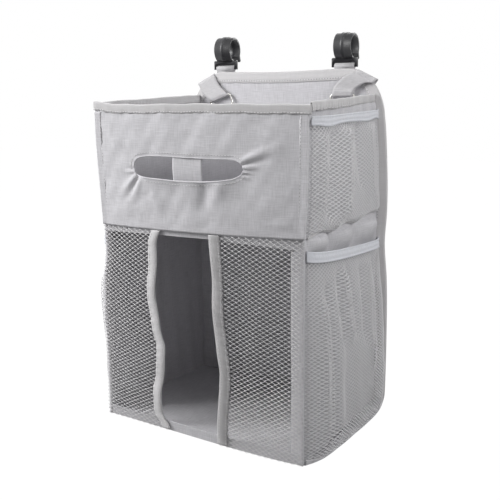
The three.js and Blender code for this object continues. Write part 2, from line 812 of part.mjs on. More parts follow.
for (const [name, side] of [['left', -1], ['right', 1]]) {
  const facing = (geometry) => (side > 0 ? geometry : mirrored(geometry));
  hung.add(part(`${name}_side_panel`, facing(sidePanel()), cloth));
  hung.add(part(`${name}_rim_binding`, side > 0 ? mirrored(sideRim()) : sideRim(), binding));
  hung.add(part(`${name}_corner_binding`, facing(cornerStrip()), binding));
  hung.add(part(`${name}_front_net`, frontNet(side), net));
  hung.add(part(`${name}_doorway_tape`, doorwayTape(side), binding));
  hung.add(part(`${name}_upper_pocket`, facing(pocket(upperPocket)), net));
  hung.add(part(`${name}_lower_pocket`, facing(pocket(lowerPocket)), net));
  hung.add(part(`${name}_upper_elastic`, facing(pocketElastic(upperPocket)), elastic));
  hung.add(part(`${name}_lower_elastic`, facing(pocketElastic(lowerPocket)), elastic));
  hung.add(part(`${name}_strap`, facing(strap()), webbing));

  const hook = new THREE.Group();
  hook.position.set(side * hookSpacing / 2, panelMiddle, panelTop + hookBarRise);
  hook.add(part(`${name}_hook`, snapHook(), blackPlastic));
  hook.add(part(`${name}_hook_tab`, hookTab(), webbing));
  hung.add(hook);

  const ring = part(`${name}_strap_ring`, strapRing(), nickel);
  ring.position.x = side * ringSpacing / 2;
  const tab = part(`${name}_ring_tab`, ringTab(), webbing);
  tab.position.set(side * ringSpacing / 2, ringPlane, ringBottomBar);
  hung.add(ring, tab);
}

export default organizer;
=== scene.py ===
import bpy
import bmesh
import math
import numpy as np
from mathutils import Matrix, Vector


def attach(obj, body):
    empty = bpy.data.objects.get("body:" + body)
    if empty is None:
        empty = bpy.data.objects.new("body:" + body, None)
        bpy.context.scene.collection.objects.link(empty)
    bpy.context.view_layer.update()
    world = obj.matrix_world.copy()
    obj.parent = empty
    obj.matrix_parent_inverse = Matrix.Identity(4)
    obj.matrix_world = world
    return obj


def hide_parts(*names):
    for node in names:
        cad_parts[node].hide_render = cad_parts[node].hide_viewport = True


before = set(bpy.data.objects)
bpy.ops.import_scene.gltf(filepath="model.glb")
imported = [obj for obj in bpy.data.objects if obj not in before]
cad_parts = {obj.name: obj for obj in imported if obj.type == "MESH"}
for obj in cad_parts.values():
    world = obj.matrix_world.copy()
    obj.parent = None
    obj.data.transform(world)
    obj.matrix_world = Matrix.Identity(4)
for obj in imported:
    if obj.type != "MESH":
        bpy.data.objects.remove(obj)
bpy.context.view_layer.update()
scene = bpy.context.scene
scene.view_settings.view_transform = "Standard"
print("frame loaded:", len(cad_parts), "nodes")

# Sizes are written in mm, from the underside of the box and the front of the back panel.
body = {
    "halfWidth": 150.0, "depth": 250.0, "shelf": 284.0, "cloth": 1.6, "frontFace": -249.2, "wallFront": -247.3,
    "panelHalf": 163.0, "panelTop": 482.0, "panelBottom": -44.0, "panelTopRadius": 60.0, "panelLowRadius": 55.0,
    "panelThick": 6.8,
}
railPoint = np.array([0.0, 8.4, 512.8])
bothSides = (("left", -1), ("right", 1))

# How the box hangs: which way its two front corners lean at each height, and how far it swells.
hang = {
    "height": [-20, 0, 60, 110, 170, 200, 240, 284, 330, 400, 425, 446],
    "leftLean": [-2.0, -2.0, -1.0, -0.5, -2.0, -1.0, 5.0, 5.0, 3.0, 0.0, 0.0, 0.0],
    "rightLean": [-5.4, -5.4, -5.0, -4.5, -4.35, -4.3, -4.2, -3.0, 0.3, 1.8, 2.6, 7.0],
    "rearHeight": [-20, 200, 278, 370, 415, 435, 447], "rearIn": [2.0, 2.0, 2.0, 4.0, 5.5, 6.5, 12.0],
    "swellHeight": [-20, 0, 70, 190, 285, 365, 446], "swell": [0.0, 0.0, 0.32, 0.8, 1.0, 0.75, 0.28],
    "leftLift": 14.5, "rightDrop": 4.0, "lowSag": 2.8, "lowReach": 160.0, "frontBulge": 11.0, "frontFrom": 160.0,
    "frontFade": 88.0, "sideBulge": 3.0, "sideFrom": 100.0, "sideFade": 48.0,
}


def smooth(x):
    x = np.clip(x, 0.0, 1.0)
    return x * x * (3 - 2 * x)


def bell(x, middle, width):
    return np.exp(-((x - middle) / width) ** 2)


def window(x, low, fadeIn, high, fadeOut):
    return smooth((x - low) / fadeIn) * smooth((high - x) / fadeOut)


def wave(at, pitch, start=0.0):
    return np.sin(at / pitch * 2 * math.pi + start)


def unit(v):
    return v / np.maximum(np.linalg.norm(v, axis=-1, keepdims=True), 1e-9)


def stacked(*parts):
    return np.stack(np.broadcast_arrays(*parts), -1)


def same(direction, count):
    return np.tile(np.asarray(direction, float), (count, 1))  # one direction for every station


def runAlong(line):
    return np.concatenate([[0], np.cumsum(np.linalg.norm(np.diff(line, axis=0), axis=1))])  # length from the start


def resample(at, run, line):
    return np.stack([np.interp(at, run, line[:, k]) for k in range(line.shape[1])], 1)


def evenly(run, line, count):
    at = np.linspace(0, run[-1], count, endpoint=False)
    return resample(at, run, line), at


def curveThrough(at, xs, ys):
    xs, ys = np.asarray(xs, float), np.asarray(ys, float)  # smooth curve through a few set points
    slope = np.gradient(ys, xs)
    at = np.clip(at, xs[0], xs[-1])
    i = np.clip(np.searchsorted(xs, at) - 1, 0, len(xs) - 2)
    h = xs[i + 1] - xs[i]
    t = (at - xs[i]) / h
    a = (1 + 2 * t) * (1 - t) ** 2 * ys[i] + t * (1 - t) ** 2 * h * slope[i]
    return a + t * t * (3 - 2 * t) * ys[i + 1] + t * t * (t - 1) * h * slope[i + 1]


def splinePoint(a, b, c, d, t):
    return 0.5 * (2 * b + (c - a) * t + (2 * a - 5 * b + 4 * c - d) * t * t + (3 * b - a - 3 * c + d) * t ** 3)


def ripple(seed, a, b, size, count=6):
    dice = np.random.RandomState(seed)  # slow uneven swell, the same on every run
    total = np.zeros(np.broadcast(a, b).shape)
    for k in range(count):
        angle = dice.uniform(0, 2 * math.pi)
        step = 2 * math.pi / (size * dice.uniform(0.6, 1.7))
        total = total + np.sin((a * math.cos(angle) + b * math.sin(angle)) * step + dice.uniform(0, 6.28))
    return total / math.sqrt(count)


def settle(p):
    # moves points of the straight box to where the hung cloth lies
    p = np.array(p, float)
    x, y, z = (p[..., k].copy() for k in range(3))
    half = body["halfWidth"]
    front = smooth((-y - hang["frontFrom"]) / hang["frontFade"])
    swell = curveThrough(z, hang["swellHeight"], hang["swell"])
    p[..., 1] -= hang["frontBulge"] * np.clip(1 - (x / half) ** 2, 0, 1) * swell * front
    along = np.clip(-y / body["depth"], 0, 1)  # 0 at the back panel, 1 at the front
    wall = smooth((np.abs(x) - hang["sideFrom"]) / hang["sideFade"])
    p[..., 0] += np.sign(x) * wall * hang["sideBulge"] * np.sin(math.pi * along)
    right = np.clip(x / (2 * half) + 0.5, 0, 1)  # 0 at the left wall, 1 at the right
    lean = curveThrough(z, hang["height"], hang["leftLean"]) * (1 - right)
    lean = lean + curveThrough(z, hang["height"], hang["rightLean"]) * right
    p[..., 0] += lean * along
    p[..., 0] -= curveThrough(z, hang["rearHeight"], hang["rearIn"]) * x / half * (1 - along)
    low = 1 - smooth(z / hang["lowReach"])
    sag = 6.75 * hang["lowSag"] * right ** 2 * (1 - right)  # 6.75 makes lowSag the greatest depth
    p[..., 2] += low * along * (hang["leftLift"] * (1 - right) - hang["rightDrop"] * right - sag)
    return p


def enlist(made, rideOn, node=None):
    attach(made, rideOn)
    if node:
        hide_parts(node)
    return made


def makePiece(name, points, faces, material, flat, node=None, rideOn="organizer", smoothFaces=True):
    mesh = bpy.data.meshes.new(name)
    mesh.from_pydata(((np.asarray(points) - railPoint) / 1000).tolist(), [], faces)
    layer = mesh.attributes.new("flatMap", "FLOAT_VECTOR", "POINT")
    layer.data.foreach_set("vector", (np.asarray(flat, np.float32) / 1000).ravel())
    if smoothFaces:
        mesh.polygons.foreach_set("use_smooth", np.ones(len(mesh.polygons), bool))
    mesh.update()
    made = bpy.data.objects.new(name, mesh)
    scene.collection.objects.link(made)
    made.data.materials.append(material)
    work = bmesh.new()
    work.from_mesh(mesh)
    bmesh.ops.recalc_face_normals(work, faces=work.faces)
    work.to_mesh(mesh)
    work.free()
    return enlist(made, rideOn, node)


def gridFaces(rows, cols, loop, start=0, flip=False):
    r = np.arange(rows - 1)[:, None]
    c = np.arange(cols if loop else cols - 1)[None, :]
    a = start + r * cols + c
    b = start + r * cols + (c + 1) % cols
    quads = np.stack([a, b, b + cols, a + cols], -1).reshape(-1, 4)
    return (quads[:, ::-1] if flip else quads).tolist()


def sheetFaces(rows, cols, loop=False):
    # two layers of a grid and the walls that join their edges
    size = rows * cols
    faces = gridFaces(rows, cols, loop) + gridFaces(rows, cols, loop, size, True)
    first, last = ([r * cols + c for c in range(cols)] for r in (0, rows - 1))
    rings = [first, last]
    if not loop:
        rings = [first + [r * cols + cols - 1 for r in range(1, rows)] + last[-2::-1]
                 + [r * cols for r in range(rows - 2, 0, -1)]]
    for ring in rings:
        faces += [[a, b, b + size, a + size] for a, b in zip(ring, ring[1:] + ring[:1])]
    return faces


def endCaps(stations, count):
    return [list(range(count))[::-1], [(stations - 1) * count + c for c in range(count)]]


def clothGrid(name, grid, flat, thick, material, node=None, loop=False, rideOn="organizer"):
    # a sheet with thickness: grid is rows x columns of middle points, loop joins the last column to the first
    rows, cols = grid.shape[:2]
    du = np.roll(grid, -1, 1) - np.roll(grid, 1, 1) if loop else np.gradient(grid, axis=1)
    lift = unit(np.cross(du, np.gradient(grid, axis=0))) * thick * 0.5
    points = np.concatenate([(grid + lift).reshape(-1, 3), (grid - lift).reshape(-1, 3)])
    flat = np.c_[flat.reshape(-1, 2), np.zeros(rows * cols)]
    flat = np.concatenate([flat, flat])
    return makePiece(name, points, sheetFaces(rows, cols, loop), material, flat, node, rideOn)


def tapeAlong(name, path, profile, material, node=None, loop=False):
    # closed profile swept along a path: path gives per station the middle and two axes
    middle, first, second = path
    shape = np.asarray(profile, float)
    stations, count = len(middle), shape.shape[-2]
    if shape.ndim == 2:
        shape = np.repeat(shape[None], stations, 0)
    grid = middle[:, None] + first[:, None] * shape[..., :1] + second[:, None] * shape[..., 1:2]
    faces = gridFaces(stations, count, True)
    if loop:
        last = (stations - 1) * count
        faces += [[last + c, last + (c + 1) % count, (c + 1) % count, c] for c in range(count)]
    else:
        faces += endCaps(stations, count)
    flat = stacked(runAlong(middle)[:, None], runAlong(shape[0])[None, :], 0.0)
    makePiece(name, grid.reshape(-1, 3), faces, material, flat.reshape(-1, 3), node)


def foldedProfile(reach, gap, thick):
    # outline of tape folded over an edge: legs run along the first axis, the fold is round
    half, turn = gap / 2, np.linspace(math.pi / 2, 1.5 * math.pi, 7)
    legs = [(reach, half + thick)] + [((half + thick) * math.cos(t), (half + thick) * math.sin(t)) for t in turn]
    legs += [(reach, -half - thick), (reach, -half)]
    legs += [(half * math.cos(t), half * math.sin(t)) for t in turn[::-1]]
    return np.array(legs + [(reach, half)])


def roundProfile(wide, high, count):
    turns = np.linspace(0, 2 * math.pi, count, endpoint=False)
    return np.stack([wide * np.cos(turns), high * np.sin(turns)], 1)


# Materials


def feed(tree, socket, value):
    if isinstance(value, bpy.types.NodeSocket):
        tree.links.new(value, socket)
    else:
        socket.default_value = value


def addNode(tree, kind, inputs, **settings):
    node = tree.nodes.new("ShaderNode" + kind)
    for key, value in settings.items():
        setattr(node, key, value)
    for key, value in inputs.items():
        feed(tree, node.inputs[key], value)
    return node


def mathNode(tree, operation, a, b=0.5):
    return addNode(tree, "Math", {0: a, 1: b}, operation=operation).outputs[0]


def noiseNode(tree, vector, scale, detail=2.0):
    return addNode(tree, "TexNoise", {"Scale": scale, "Detail": detail, "Vector": vector}).outputs["Fac"]


def scaledVector(tree, vector, scale):
    return addNode(tree, "VectorMath", {0: vector, 1: scale}, operation="MULTIPLY").outputs[0]


def objectPlace(tree):
    return addNode(tree, "TexCoord", {}).outputs["Object"]


def nodeGroup(name, inputs, outputs):
    group = bpy.data.node_groups.new(name, "ShaderNodeTree")
    for label, kind, value in inputs:
        socket = group.interface.new_socket(label, in_out="INPUT", socket_type="NodeSocket" + kind)
        if value is not None:
            socket.default_value = value
    for label in outputs:
        group.interface.new_socket(label, in_out="OUTPUT", socket_type="NodeSocketFloat")
    return group, group.nodes.new("NodeGroupInput").outputs, group.nodes.new("NodeGroupOutput").inputs


def waveOf(group, along, turns):
    return mathNode(group, "SINE", mathNode(group, "MULTIPLY", along, turns))


def slubWeaveGroup():
    # plain weave with uneven threads: long thin streaks both ways over a fine thread grid
    group, given, out = nodeGroup(
        "slubWeave", [("Flat", "Vector", None), ("Threads per m", "Float", 900.0), ("Slub", "Float", 0.5)],
        ["Shade", "Height"])
    across, down = (noiseNode(group, scaledVector(group, given["Flat"], stretch), 1.0)
                    for stretch in ((55.0, 820.0, 1.0), (820.0, 55.0, 1.0)))
    streaks = mathNode(group, "ADD", across, down)
    cut = addNode(group, "SeparateXYZ", {0: given["Flat"]}).outputs
    turns = mathNode(group, "MULTIPLY", given["Threads per m"], 2 * math.pi)
    knit = mathNode(group, "MULTIPLY", waveOf(group, cut["X"], turns), waveOf(group, cut["Y"], turns))
    lean = mathNode(group, "MULTIPLY", mathNode(group, "SUBTRACT", streaks, 1.0), given["Slub"])
    shade = mathNode(group, "ADD", mathNode(group, "ADD", lean, 0.5), mathNode(group, "MULTIPLY", knit, 0.06))
    feed(group, out["Shade"], shade)
    feed(group, out["Height"], mathNode(group, "ADD", mathNode(group, "MULTIPLY", knit, 0.35), streaks))
    return group


def softToneGroup():
    # faint uneven tone over a whole piece, as in used cloth
    group, given, out = nodeGroup("softTone", [("Spread", "Float", 0.1)], ["Tone"])
    broad = noiseNode(group, objectPlace(group), 9.0, 3.0)
    tone = mathNode(group, "MULTIPLY", mathNode(group, "SUBTRACT", broad, 0.5), given["Spread"])
    feed(group, out["Tone"], mathNode(group, "ADD", tone, 1.0))
    return group


def ribGroup():
    # close ribs that run across a tape or an elastic
    group, given, out = nodeGroup(
        "tapeRibs", [("Flat", "Vector", None), ("Ribs per m", "Float", 700.0)], ["Shade", "Height"])
    along = addNode(group, "SeparateXYZ", {0: given["Flat"]}).outputs["X"]
    rib = waveOf(group, along, mathNode(group, "MULTIPLY", given["Ribs per m"], 2 * math.pi))
    fuzz = noiseNode(group, scaledVector(group, given["Flat"], (500.0, 160.0, 1.0)), 1.0)
    feed(group, out["Shade"], mathNode(group, "ADD", mathNode(group, "MULTIPLY", rib, 0.12), fuzz))
    feed(group, out["Height"], mathNode(group, "ADD", rib, fuzz))
    return group


slubWeave, softTone, tapeRibs = slubWeaveGroup(), softToneGroup(), ribGroup()


def startMaterial(name, **values):
    material = bpy.data.materials.new(name)
    material.use_nodes = True
    shader = material.node_tree.nodes["Principled BSDF"]
    for label, value in values.items():
        shader.inputs[label.replace("_", " ")].default_value = value
    return material, material.node_tree, shader


def shadeBetween(tree, shader, fac, dark, light, tone=None):
    mixed = addNode(tree, "Mix", {0: fac, 6: (*dark, 1), 7: (*light, 1)}, data_type="RGBA").outputs[2]
    if tone:
        mixed = addNode(tree, "VectorMath", {0: mixed, "Scale": tone}, operation="SCALE").outputs[0]
    feed(tree, shader.inputs["Base Color"], mixed)


def bumpFrom(tree, shader, height, strength, distance):
    bump = addNode(tree, "Bump", {"Strength": strength, "Distance": distance, "Height": height})
    feed(tree, shader.inputs["Normal"], bump.outputs[0])


def clothMaterial(name, dark, light, group, values, spread, roughness, sheen, bump):
    material, tree, shader = startMaterial(name, Roughness=roughness, Sheen_Weight=sheen)
    flat = addNode(tree, "Attribute", {}, attribute_name="flatMap").outputs["Vector"]
    weave = addNode(tree, "Group", {}, node_tree=group)
    for label, value in {"Flat": flat, **values}.items():
        feed(tree, weave.inputs[label], value)
    tone = addNode(tree, "Group", {}, node_tree=softTone)
    tone.inputs["Spread"].default_value = spread
    shadeBetween(tree, shader, weave.outputs["Shade"], dark, light, tone.outputs["Tone"])
    bumpFrom(tree, shader, weave.outputs["Height"], bump, 0.0003)
    return material


def wovenMaterial(name, dark, light, threads, slub, spread, roughness=0.9, sheen=0.15, bump=0.35):
    values = {"Threads per m": threads, "Slub": slub}
    return clothMaterial(name, dark, light, slubWeave, values, spread, roughness, sheen, bump)


def ribbedMaterial(name, dark, light, ribs, spread):
    return clothMaterial(name, dark, light, tapeRibs, {"Ribs per m": ribs}, spread, 0.75, 0.1, 0.4)


def grainMaterial(name, dark, light, grain, roughness, metallic=0.0, uneven=None, bump=None):
    # grain is noise scale and detail; uneven adds a second noise to the roughness, with its spread and least value
    material, tree, shader = startMaterial(name, Roughness=roughness, Metallic=metallic)
    where = objectPlace(tree)
    shade = noiseNode(tree, where, *grain)
    shadeBetween(tree, shader, shade, dark, light)
    if uneven:
        haze = mathNode(tree, "MULTIPLY", noiseNode(tree, where, *uneven[:2]), uneven[2])
        feed(tree, shader.inputs["Roughness"], mathNode(tree, "ADD", haze, uneven[3]))
    if bump:
        bumpFrom(tree, shader, shade, *bump)
    return material


yarnFinish = (1600.0, 0.4, 0.06, 0.7, 0.1, 0.25)  # threads per m, slub, spread, roughness, sheen, bump
linen = wovenMaterial("greyLinen", (0.43, 0.425, 0.443), (0.75, 0.74, 0.77), 1000.0, 0.75, 0.08)
tapeCloth = wovenMaterial("bindingTape", (0.50, 0.49, 0.495), (0.66, 0.65, 0.66), 1300.0, 0.5, 0.08)
netYarn = wovenMaterial("netYarn", (0.60, 0.59, 0.595), (0.78, 0.77, 0.775), *yarnFinish)
# painted light: the side pockets use the same yarn as the front net, lightened to stand in for how the pockets are lit
paintedLitPocketYarn = wovenMaterial("paintedLitPocketYarn", (0.64, 0.635, 0.645), (0.84, 0.835, 0.85), *yarnFinish)
elasticTape = ribbedMaterial("elasticTape", (0.60, 0.615, 0.66), (0.78, 0.79, 0.84), 620.0, 0.05)
webbing = ribbedMaterial("strapWebbing", (0.42, 0.415, 0.425), (0.60, 0.59, 0.605), 520.0, 0.06)
# painted shade: a dark material for the needle holes, standing in for the shade in the dimples where each stitch dives
# into the cloth
paintedHoleShade = wovenMaterial("paintedHoleShade", (0.24, 0.24, 0.245), (0.32, 0.32, 0.325), 1500.0, 0.4, 0.05)
sewThread = ribbedMaterial("sewingThread", (0.66, 0.65, 0.66), (0.80, 0.79, 0.80), 1500.0, 0.05)
hookPlastic = grainMaterial("hookPlastic", (0.012, 0.012, 0.014), (0.03, 0.03, 0.034), (1400.0, 3.0), 0.42,
                            uneven=(120.0, 2.0, 0.25, 0.3), bump=(0.25, 0.0001))
nickelWire = grainMaterial("nickelWire", (0.5, 0.49, 0.46), (0.68, 0.67, 0.64), (260.0, 3.0), 0.25, 1.0,
                           uneven=(260.0, 3.0, 0.22, 0.14))
stiffBoard = grainMaterial("stiffBoard", (0.29, 0.24, 0.18), (0.44, 0.38, 0.3), (320.0, 5.0), 0.95,
                           bump=(0.2, 0.0002))
print("materials ready")


# Camera at the photograph's viewing angle

view = {"turn": 28.5, "rise": 12.03, "roll": -0.89, "away": 1175.6, "aim": (0, -130, 225), "lens": 60.88,
        "sensor": 36.0, "shiftX": 0.0146, "shiftY": 0.0188}


def addCamera():
    turn, rise, roll = (math.radians(view[k]) for k in ("turn", "rise", "roll"))
    away = Vector((math.sin(turn) * math.cos(rise), -math.cos(turn) * math.cos(rise), math.sin(rise)))
    right = away.cross(Vector((0, 0, 1))).normalized() * -1
    up = away.cross(right)
    right, up = right * math.cos(roll) + up * math.sin(roll), up * math.cos(roll) - right * math.sin(roll)
    eye = (np.array(view["aim"]) + view["away"] * np.array(away) - railPoint) / 1000
    data = bpy.data.cameras.new("camera")
    data.sensor_width, data.lens = view["sensor"], view["lens"]
    data.shift_x, data.shift_y = view["shiftX"], view["shiftY"]
    made = bpy.data.objects.new("camera", data)
    scene.collection.objects.link(made)
    made.matrix_world = Matrix.Translation(eye) @ Matrix((right, up, away)).transposed().to_4x4()
    scene.camera = made


addCamera()

studio = {  # each lamp has a place and a size in m and a power in W
    "ambient": 0.145, "floorDrop": 190.0, "floorTone": 0.35, "floorGlow": 0.92, "floorShine": 1.08, "floorReach": 6.0,
    "aim": (0.0, -0.14, -0.28),
    "lamps": [("key", (-1.08, -0.84, 0.5), 0.8, 26.0), ("right", (1.0, -0.28, 0.27), 0.35, 4.9),
              ("top", (0.8, -0.9, 1.7), 0.8, 8.0), ("rear", (-0.2, 2.3, 1.3), 1.6, 46.0)],
}


def showWhite(tree, kind, share, lit, shown):
    # what the camera, gloss and glass see is shown, all other rays get lit
    path = addNode(tree, "LightPath", {}).outputs
    seen = mathNode(tree, "MAXIMUM", path["Is Camera Ray"], path["Is Glossy Ray"])
    seen = mathNode(tree, "MAXIMUM", seen, path["Is Transmission Ray"])
    mix = addNode(tree, "MixShader", {0: mathNode(tree, "MULTIPLY", seen, share), 1: lit, 2: shown})
    feed(tree, tree.nodes[kind].inputs["Surface"], mix.outputs[0])


def addStudio():
    scene.world = bpy.data.worlds.new("studio")
    scene.world.use_nodes = True
    tree = scene.world.node_tree
    lit, shown = (addNode(tree, "Background", {"Color": (1, 1, 1, 1), "Strength": strength}).outputs[0]
                  for strength in (studio["ambient"], 1.0))
    showWhite(tree, "World Output", 1.0, lit, shown)

    for name, place, size, power in studio["lamps"]:
        lamp = bpy.data.lights.new(name, "AREA")
        lamp.energy, lamp.size = power, size
        made = bpy.data.objects.new(name, lamp)
        scene.collection.objects.link(made)
        made.location = place
        made.rotation_euler = (Vector(studio["aim"]) - made.location).to_track_quat("-Z", "Y").to_euler()

    level = (body["panelBottom"] - studio["floorDrop"] - railPoint[2]) / 1000
    reach = studio["floorReach"]
    mesh = bpy.data.meshes.new("studioFloor")
    mesh.from_pydata([(a * reach, b * reach, level) for a, b in ((-1, -1), (1, -1), (1, 1), (-1, 1))], [], [(0, 1, 2, 3)])
    floor = bpy.data.objects.new("studioFloor", mesh)
    scene.collection.objects.link(floor)
    material, tree, shader = startMaterial("paleFloor", Base_Color=(*[studio["floorTone"]] * 3, 1), Roughness=0.9)
    glow = addNode(tree, "Emission", {"Strength": studio["floorShine"]})
    showWhite(tree, "Material Output", studio["floorGlow"], shader.outputs[0], glow.outputs[0])
    floor.data.materials.append(material)


addStudio()
print("camera, light and floor ready")


# Sewing: rows of short stitches laid on a line


# hole is the half width of the dark painted-shade patch laid at each needle hole
def sewRow(name, line, normal, rideOn="organizer", length=3.0, pitch=4.2, width=0.5, hole=0.5):
    run = runAlong(line)
    points, faces, flat, dark = [], [], [], []

    def addBar(ends, sizes):
        # a short bar of square sections, each with its half width, height and depth
        mid = resample(ends, run, line)
        up = unit(resample(ends, run, normal))
        side = unit(np.cross(mid[-1] - mid[0], up))
        base, last = len(points), len(ends) - 1
        for k, (wide, high, deep) in enumerate(sizes):
            for a, b in ((-wide, 0), (0, high), (wide, 0), (0, -deep)):
                points.append(mid[k] + side[k] * a + up[k] * b)
                flat.append((ends[k], a, 0))
        for k in range(last):
            for c in range(4):
                a, b = base + k * 4 + c, base + k * 4 + (c + 1) % 4
                faces.append((a, b, b + 4, a + 4))
        faces.append((base + 3, base + 2, base + 1, base))
        faces.append(tuple(base + last * 4 + c for c in range(4)))

    # the thread thins where it dives into the cloth
    thread = [(width * w, width * h, width * 0.6) for w, h in ((0.35, 0.1), (1.0, 0.75), (1.0, 0.75), (0.35, 0.1))]
    for s in np.arange(pitch * 0.3, run[-1] - pitch, pitch):
        addBar(s + length * np.array([0, 0.25, 0.75, 1]), thread)
        # the bar between stitches marks the needle hole and takes the dark material as painted shade
        addBar(s + length + (pitch - length) * np.array([0.0, 1.0]), [(hole, 0.1, 0.5)] * 2)
        dark += [False] * 14 + [True] * 6
    made = makePiece(name, points, faces, sewThread, flat, None, rideOn)
    made.data.materials.append(paintedHoleShade)
    made.data.polygons.foreach_set("material_index", np.array(dark, np.int32))


# Back panel: covered board with a folded binding all round


def roundedLine(half, low, high, lowRadius, highRadius, count):
    # closed outline in x and z with even spacing, from the bottom right, with its outward direction, and the length so far
    corners = [(half - lowRadius, low + lowRadius, lowRadius), (half - highRadius, high - highRadius, highRadius),
               (highRadius - half, high - highRadius, highRadius), (lowRadius - half, low + lowRadius, lowRadius)]
    points = []
    for (cx, cz, radius), start in zip(corners, (-90, 0, 90, 180)):
        for a in np.radians(np.linspace(start, start + 90, 40)):
            points.append((cx + radius * math.cos(a), cz + radius * math.sin(a), math.cos(a), math.sin(a)))
    points = np.array(points + points[:1])
    line, at = evenly(runAlong(points[:, :2]), points, count)
    line[:, 2:] = unit(line[:, 2:])
    return line, at


backCover = {
    "inset": 1.6, "crown": 0.5, "wrinkle": 0.35, "lap": 14.0, "tape": 0.4, "edge": 2.2, "full": 3.8, "stitchIn": 11.0,
    "height": [-44, 28, 93, 184, 241, 279, 370, 403, 425, 447, 458, 469, 482],
    "narrow": [2.0, 0.0, -0.5, 1.0, 5.0, 2.7, 4.6, 6.8, 9.2, 10.5, 10.5, 9.0, 4.0],
    "across": [-163, -100, 0, 60, 100, 163], "sag": [4.0, 3.0, 4.0, 2.2, 1.0, 0.5], "sagFrom": 390.0, "sagFade": 90.0,
    "thinEdge": 0.62, "coverPoints": 420, "bindingPoints": 720,
    "rings": [1.0, 0.985, 0.96, 0.92, 0.86, 0.78, 0.68, 0.57, 0.46, 0.35, 0.24, 0.13, 0.04],
}


def panelShape(p):
    p = np.array(p, float)  # the soft panel is drawn in a little where the box pulls on it
    p[..., 0] -= curveThrough(p[..., 2], backCover["height"], backCover["narrow"]) * p[..., 0] / body["panelHalf"]
    high = smooth((p[..., 2] - backCover["sagFrom"]) / backCover["sagFade"])
    p[..., 2] -= curveThrough(p[..., 0], backCover["across"], backCover["sag"]) * high
    return p


def panelLine(inset, count):
    return roundedLine(body["panelHalf"] - inset, body["panelBottom"] + inset, body["panelTop"] - inset,
                       body["panelLowRadius"] - inset, body["panelTopRadius"] - inset, count)


def edgeFold(lap, edge, full, tape):
    # outline of tape folded over the panel's thin edge, its legs lying flat on the cover
    reach = np.concatenate([[lap, lap - 0.8], np.linspace(lap - 2.2, 0.0, 7)])
    spread = edge + (full - edge) * smooth(reach / 10)
    turn = np.linspace(math.pi / 2, 1.5 * math.pi, 7)[1:-1]
    tape = np.where(reach > lap - 1, 0.3 * tape, tape)
    outer = [(a, b + t) for a, b, t in zip(reach, spread, tape)]
    outer += [(0.7 * (edge + tape[-1]) * math.cos(t), (edge + tape[-1]) * math.sin(t)) for t in turn]
    outer += [(a, -b - t) for a, b, t in zip(reach[::-1], spread[::-1], tape[::-1])]
    inner = [(a, -b) for a, b in zip(reach, spread)]
    inner += [(0.7 * edge * math.cos(t), edge * math.sin(t)) for t in turn[::-1]]
    inner += [(a, b) for a, b in zip(reach[::-1], spread[::-1])]
    return np.array(outer + inner)


def buildBackPanel():
    count, half, thin = backCover["coverPoints"], body["panelThick"] / 2, backCover["thinEdge"]
    line = panelLine(backCover["inset"], count)[0]
    outline = stacked(line[:, 0], 0.0, line[:, 1])
    centre = np.array([0, 0, (body["panelTop"] + body["panelBottom"]) / 2])
    layers = []
    for side in (-1, 1):
        rows = []
        for share in backCover["rings"]:
            ring = centre + (outline - centre) * share
            puff = half * (thin + (1 - thin) * smooth((1 - share) / 0.06))
            puff = puff + backCover["crown"] * smooth((1 - share) / 0.5)
            uneven = backCover["wrinkle"] * ripple(3 + side, ring[:, 0], ring[:, 2], 90) * smooth((1 - share) / 0.1)
            ring[:, 1] = half + side * (puff + uneven * 0.5)
            rows.append(ring)
        layers.append(rows)
    grid = np.array(layers[0][::-1] + layers[1])
    flat = grid[..., [0, 2, 1]].reshape(-1, 3)
    grid = panelShape(grid)
    rows = len(grid)
    faces = gridFaces(rows, count, True)
    tips = np.array([grid[0].mean(0), grid[-1].mean(0)])
    for c in range(count):
        n = (c + 1) % count
        faces.append([rows * count, n, c])
        faces.append([rows * count + 1, (rows - 1) * count + c, (rows - 1) * count + n])
    makePiece("backPanelCover", np.concatenate([grid.reshape(-1, 3), tips]), faces, linen,
              np.concatenate([flat, tips[:, [0, 2, 1]]]), "back_panel")

    count = backCover["bindingPoints"]
    line, run = panelLine(0.0, count)
    middle = panelShape(stacked(line[:, 0], half, line[:, 1]))
    inward = stacked(-line[:, 2], 0.0, -line[:, 3])
    lap, tape, full = backCover["lap"], backCover["tape"], backCover["full"]
    profile = np.repeat(edgeFold(lap, backCover["edge"], full, tape)[None], count, 0)
    pucker = 0.35 * wave(run, 9.5) + 0.25 * wave(run, 23.0, 1)
    profile[..., 0] += (profile[..., 0] > lap - 0.1) * pucker[:, None]
    pull = (0.3 + 0.15 * wave(run, 4.2))[:, None]  # each stitch draws the tape in
    profile[..., 1] -= np.sign(profile[..., 1]) * bell(profile[..., 0], backCover["stitchIn"], 1.6) * pull
    path = (middle, inward, same((0, 1, 0), count))
    tapeAlong("backBindingTape", path, profile, tapeCloth, "back_binding", loop=True)
    for name, side in (("backStitchFront", -1), ("backStitchRear", 1)):
        seam = middle + inward * backCover["stitchIn"]
        seam[:, 1] = half + side * (full + tape - 0.2)
        sewRow(name, np.concatenate([seam, seam[:1]]), same((0, side, 0), count + 1), hole=0.42)


buildBackPanel()
print("back panel done")


# Side walls: cloth with a seam allowance turned in behind the front, and swollen between the pockets

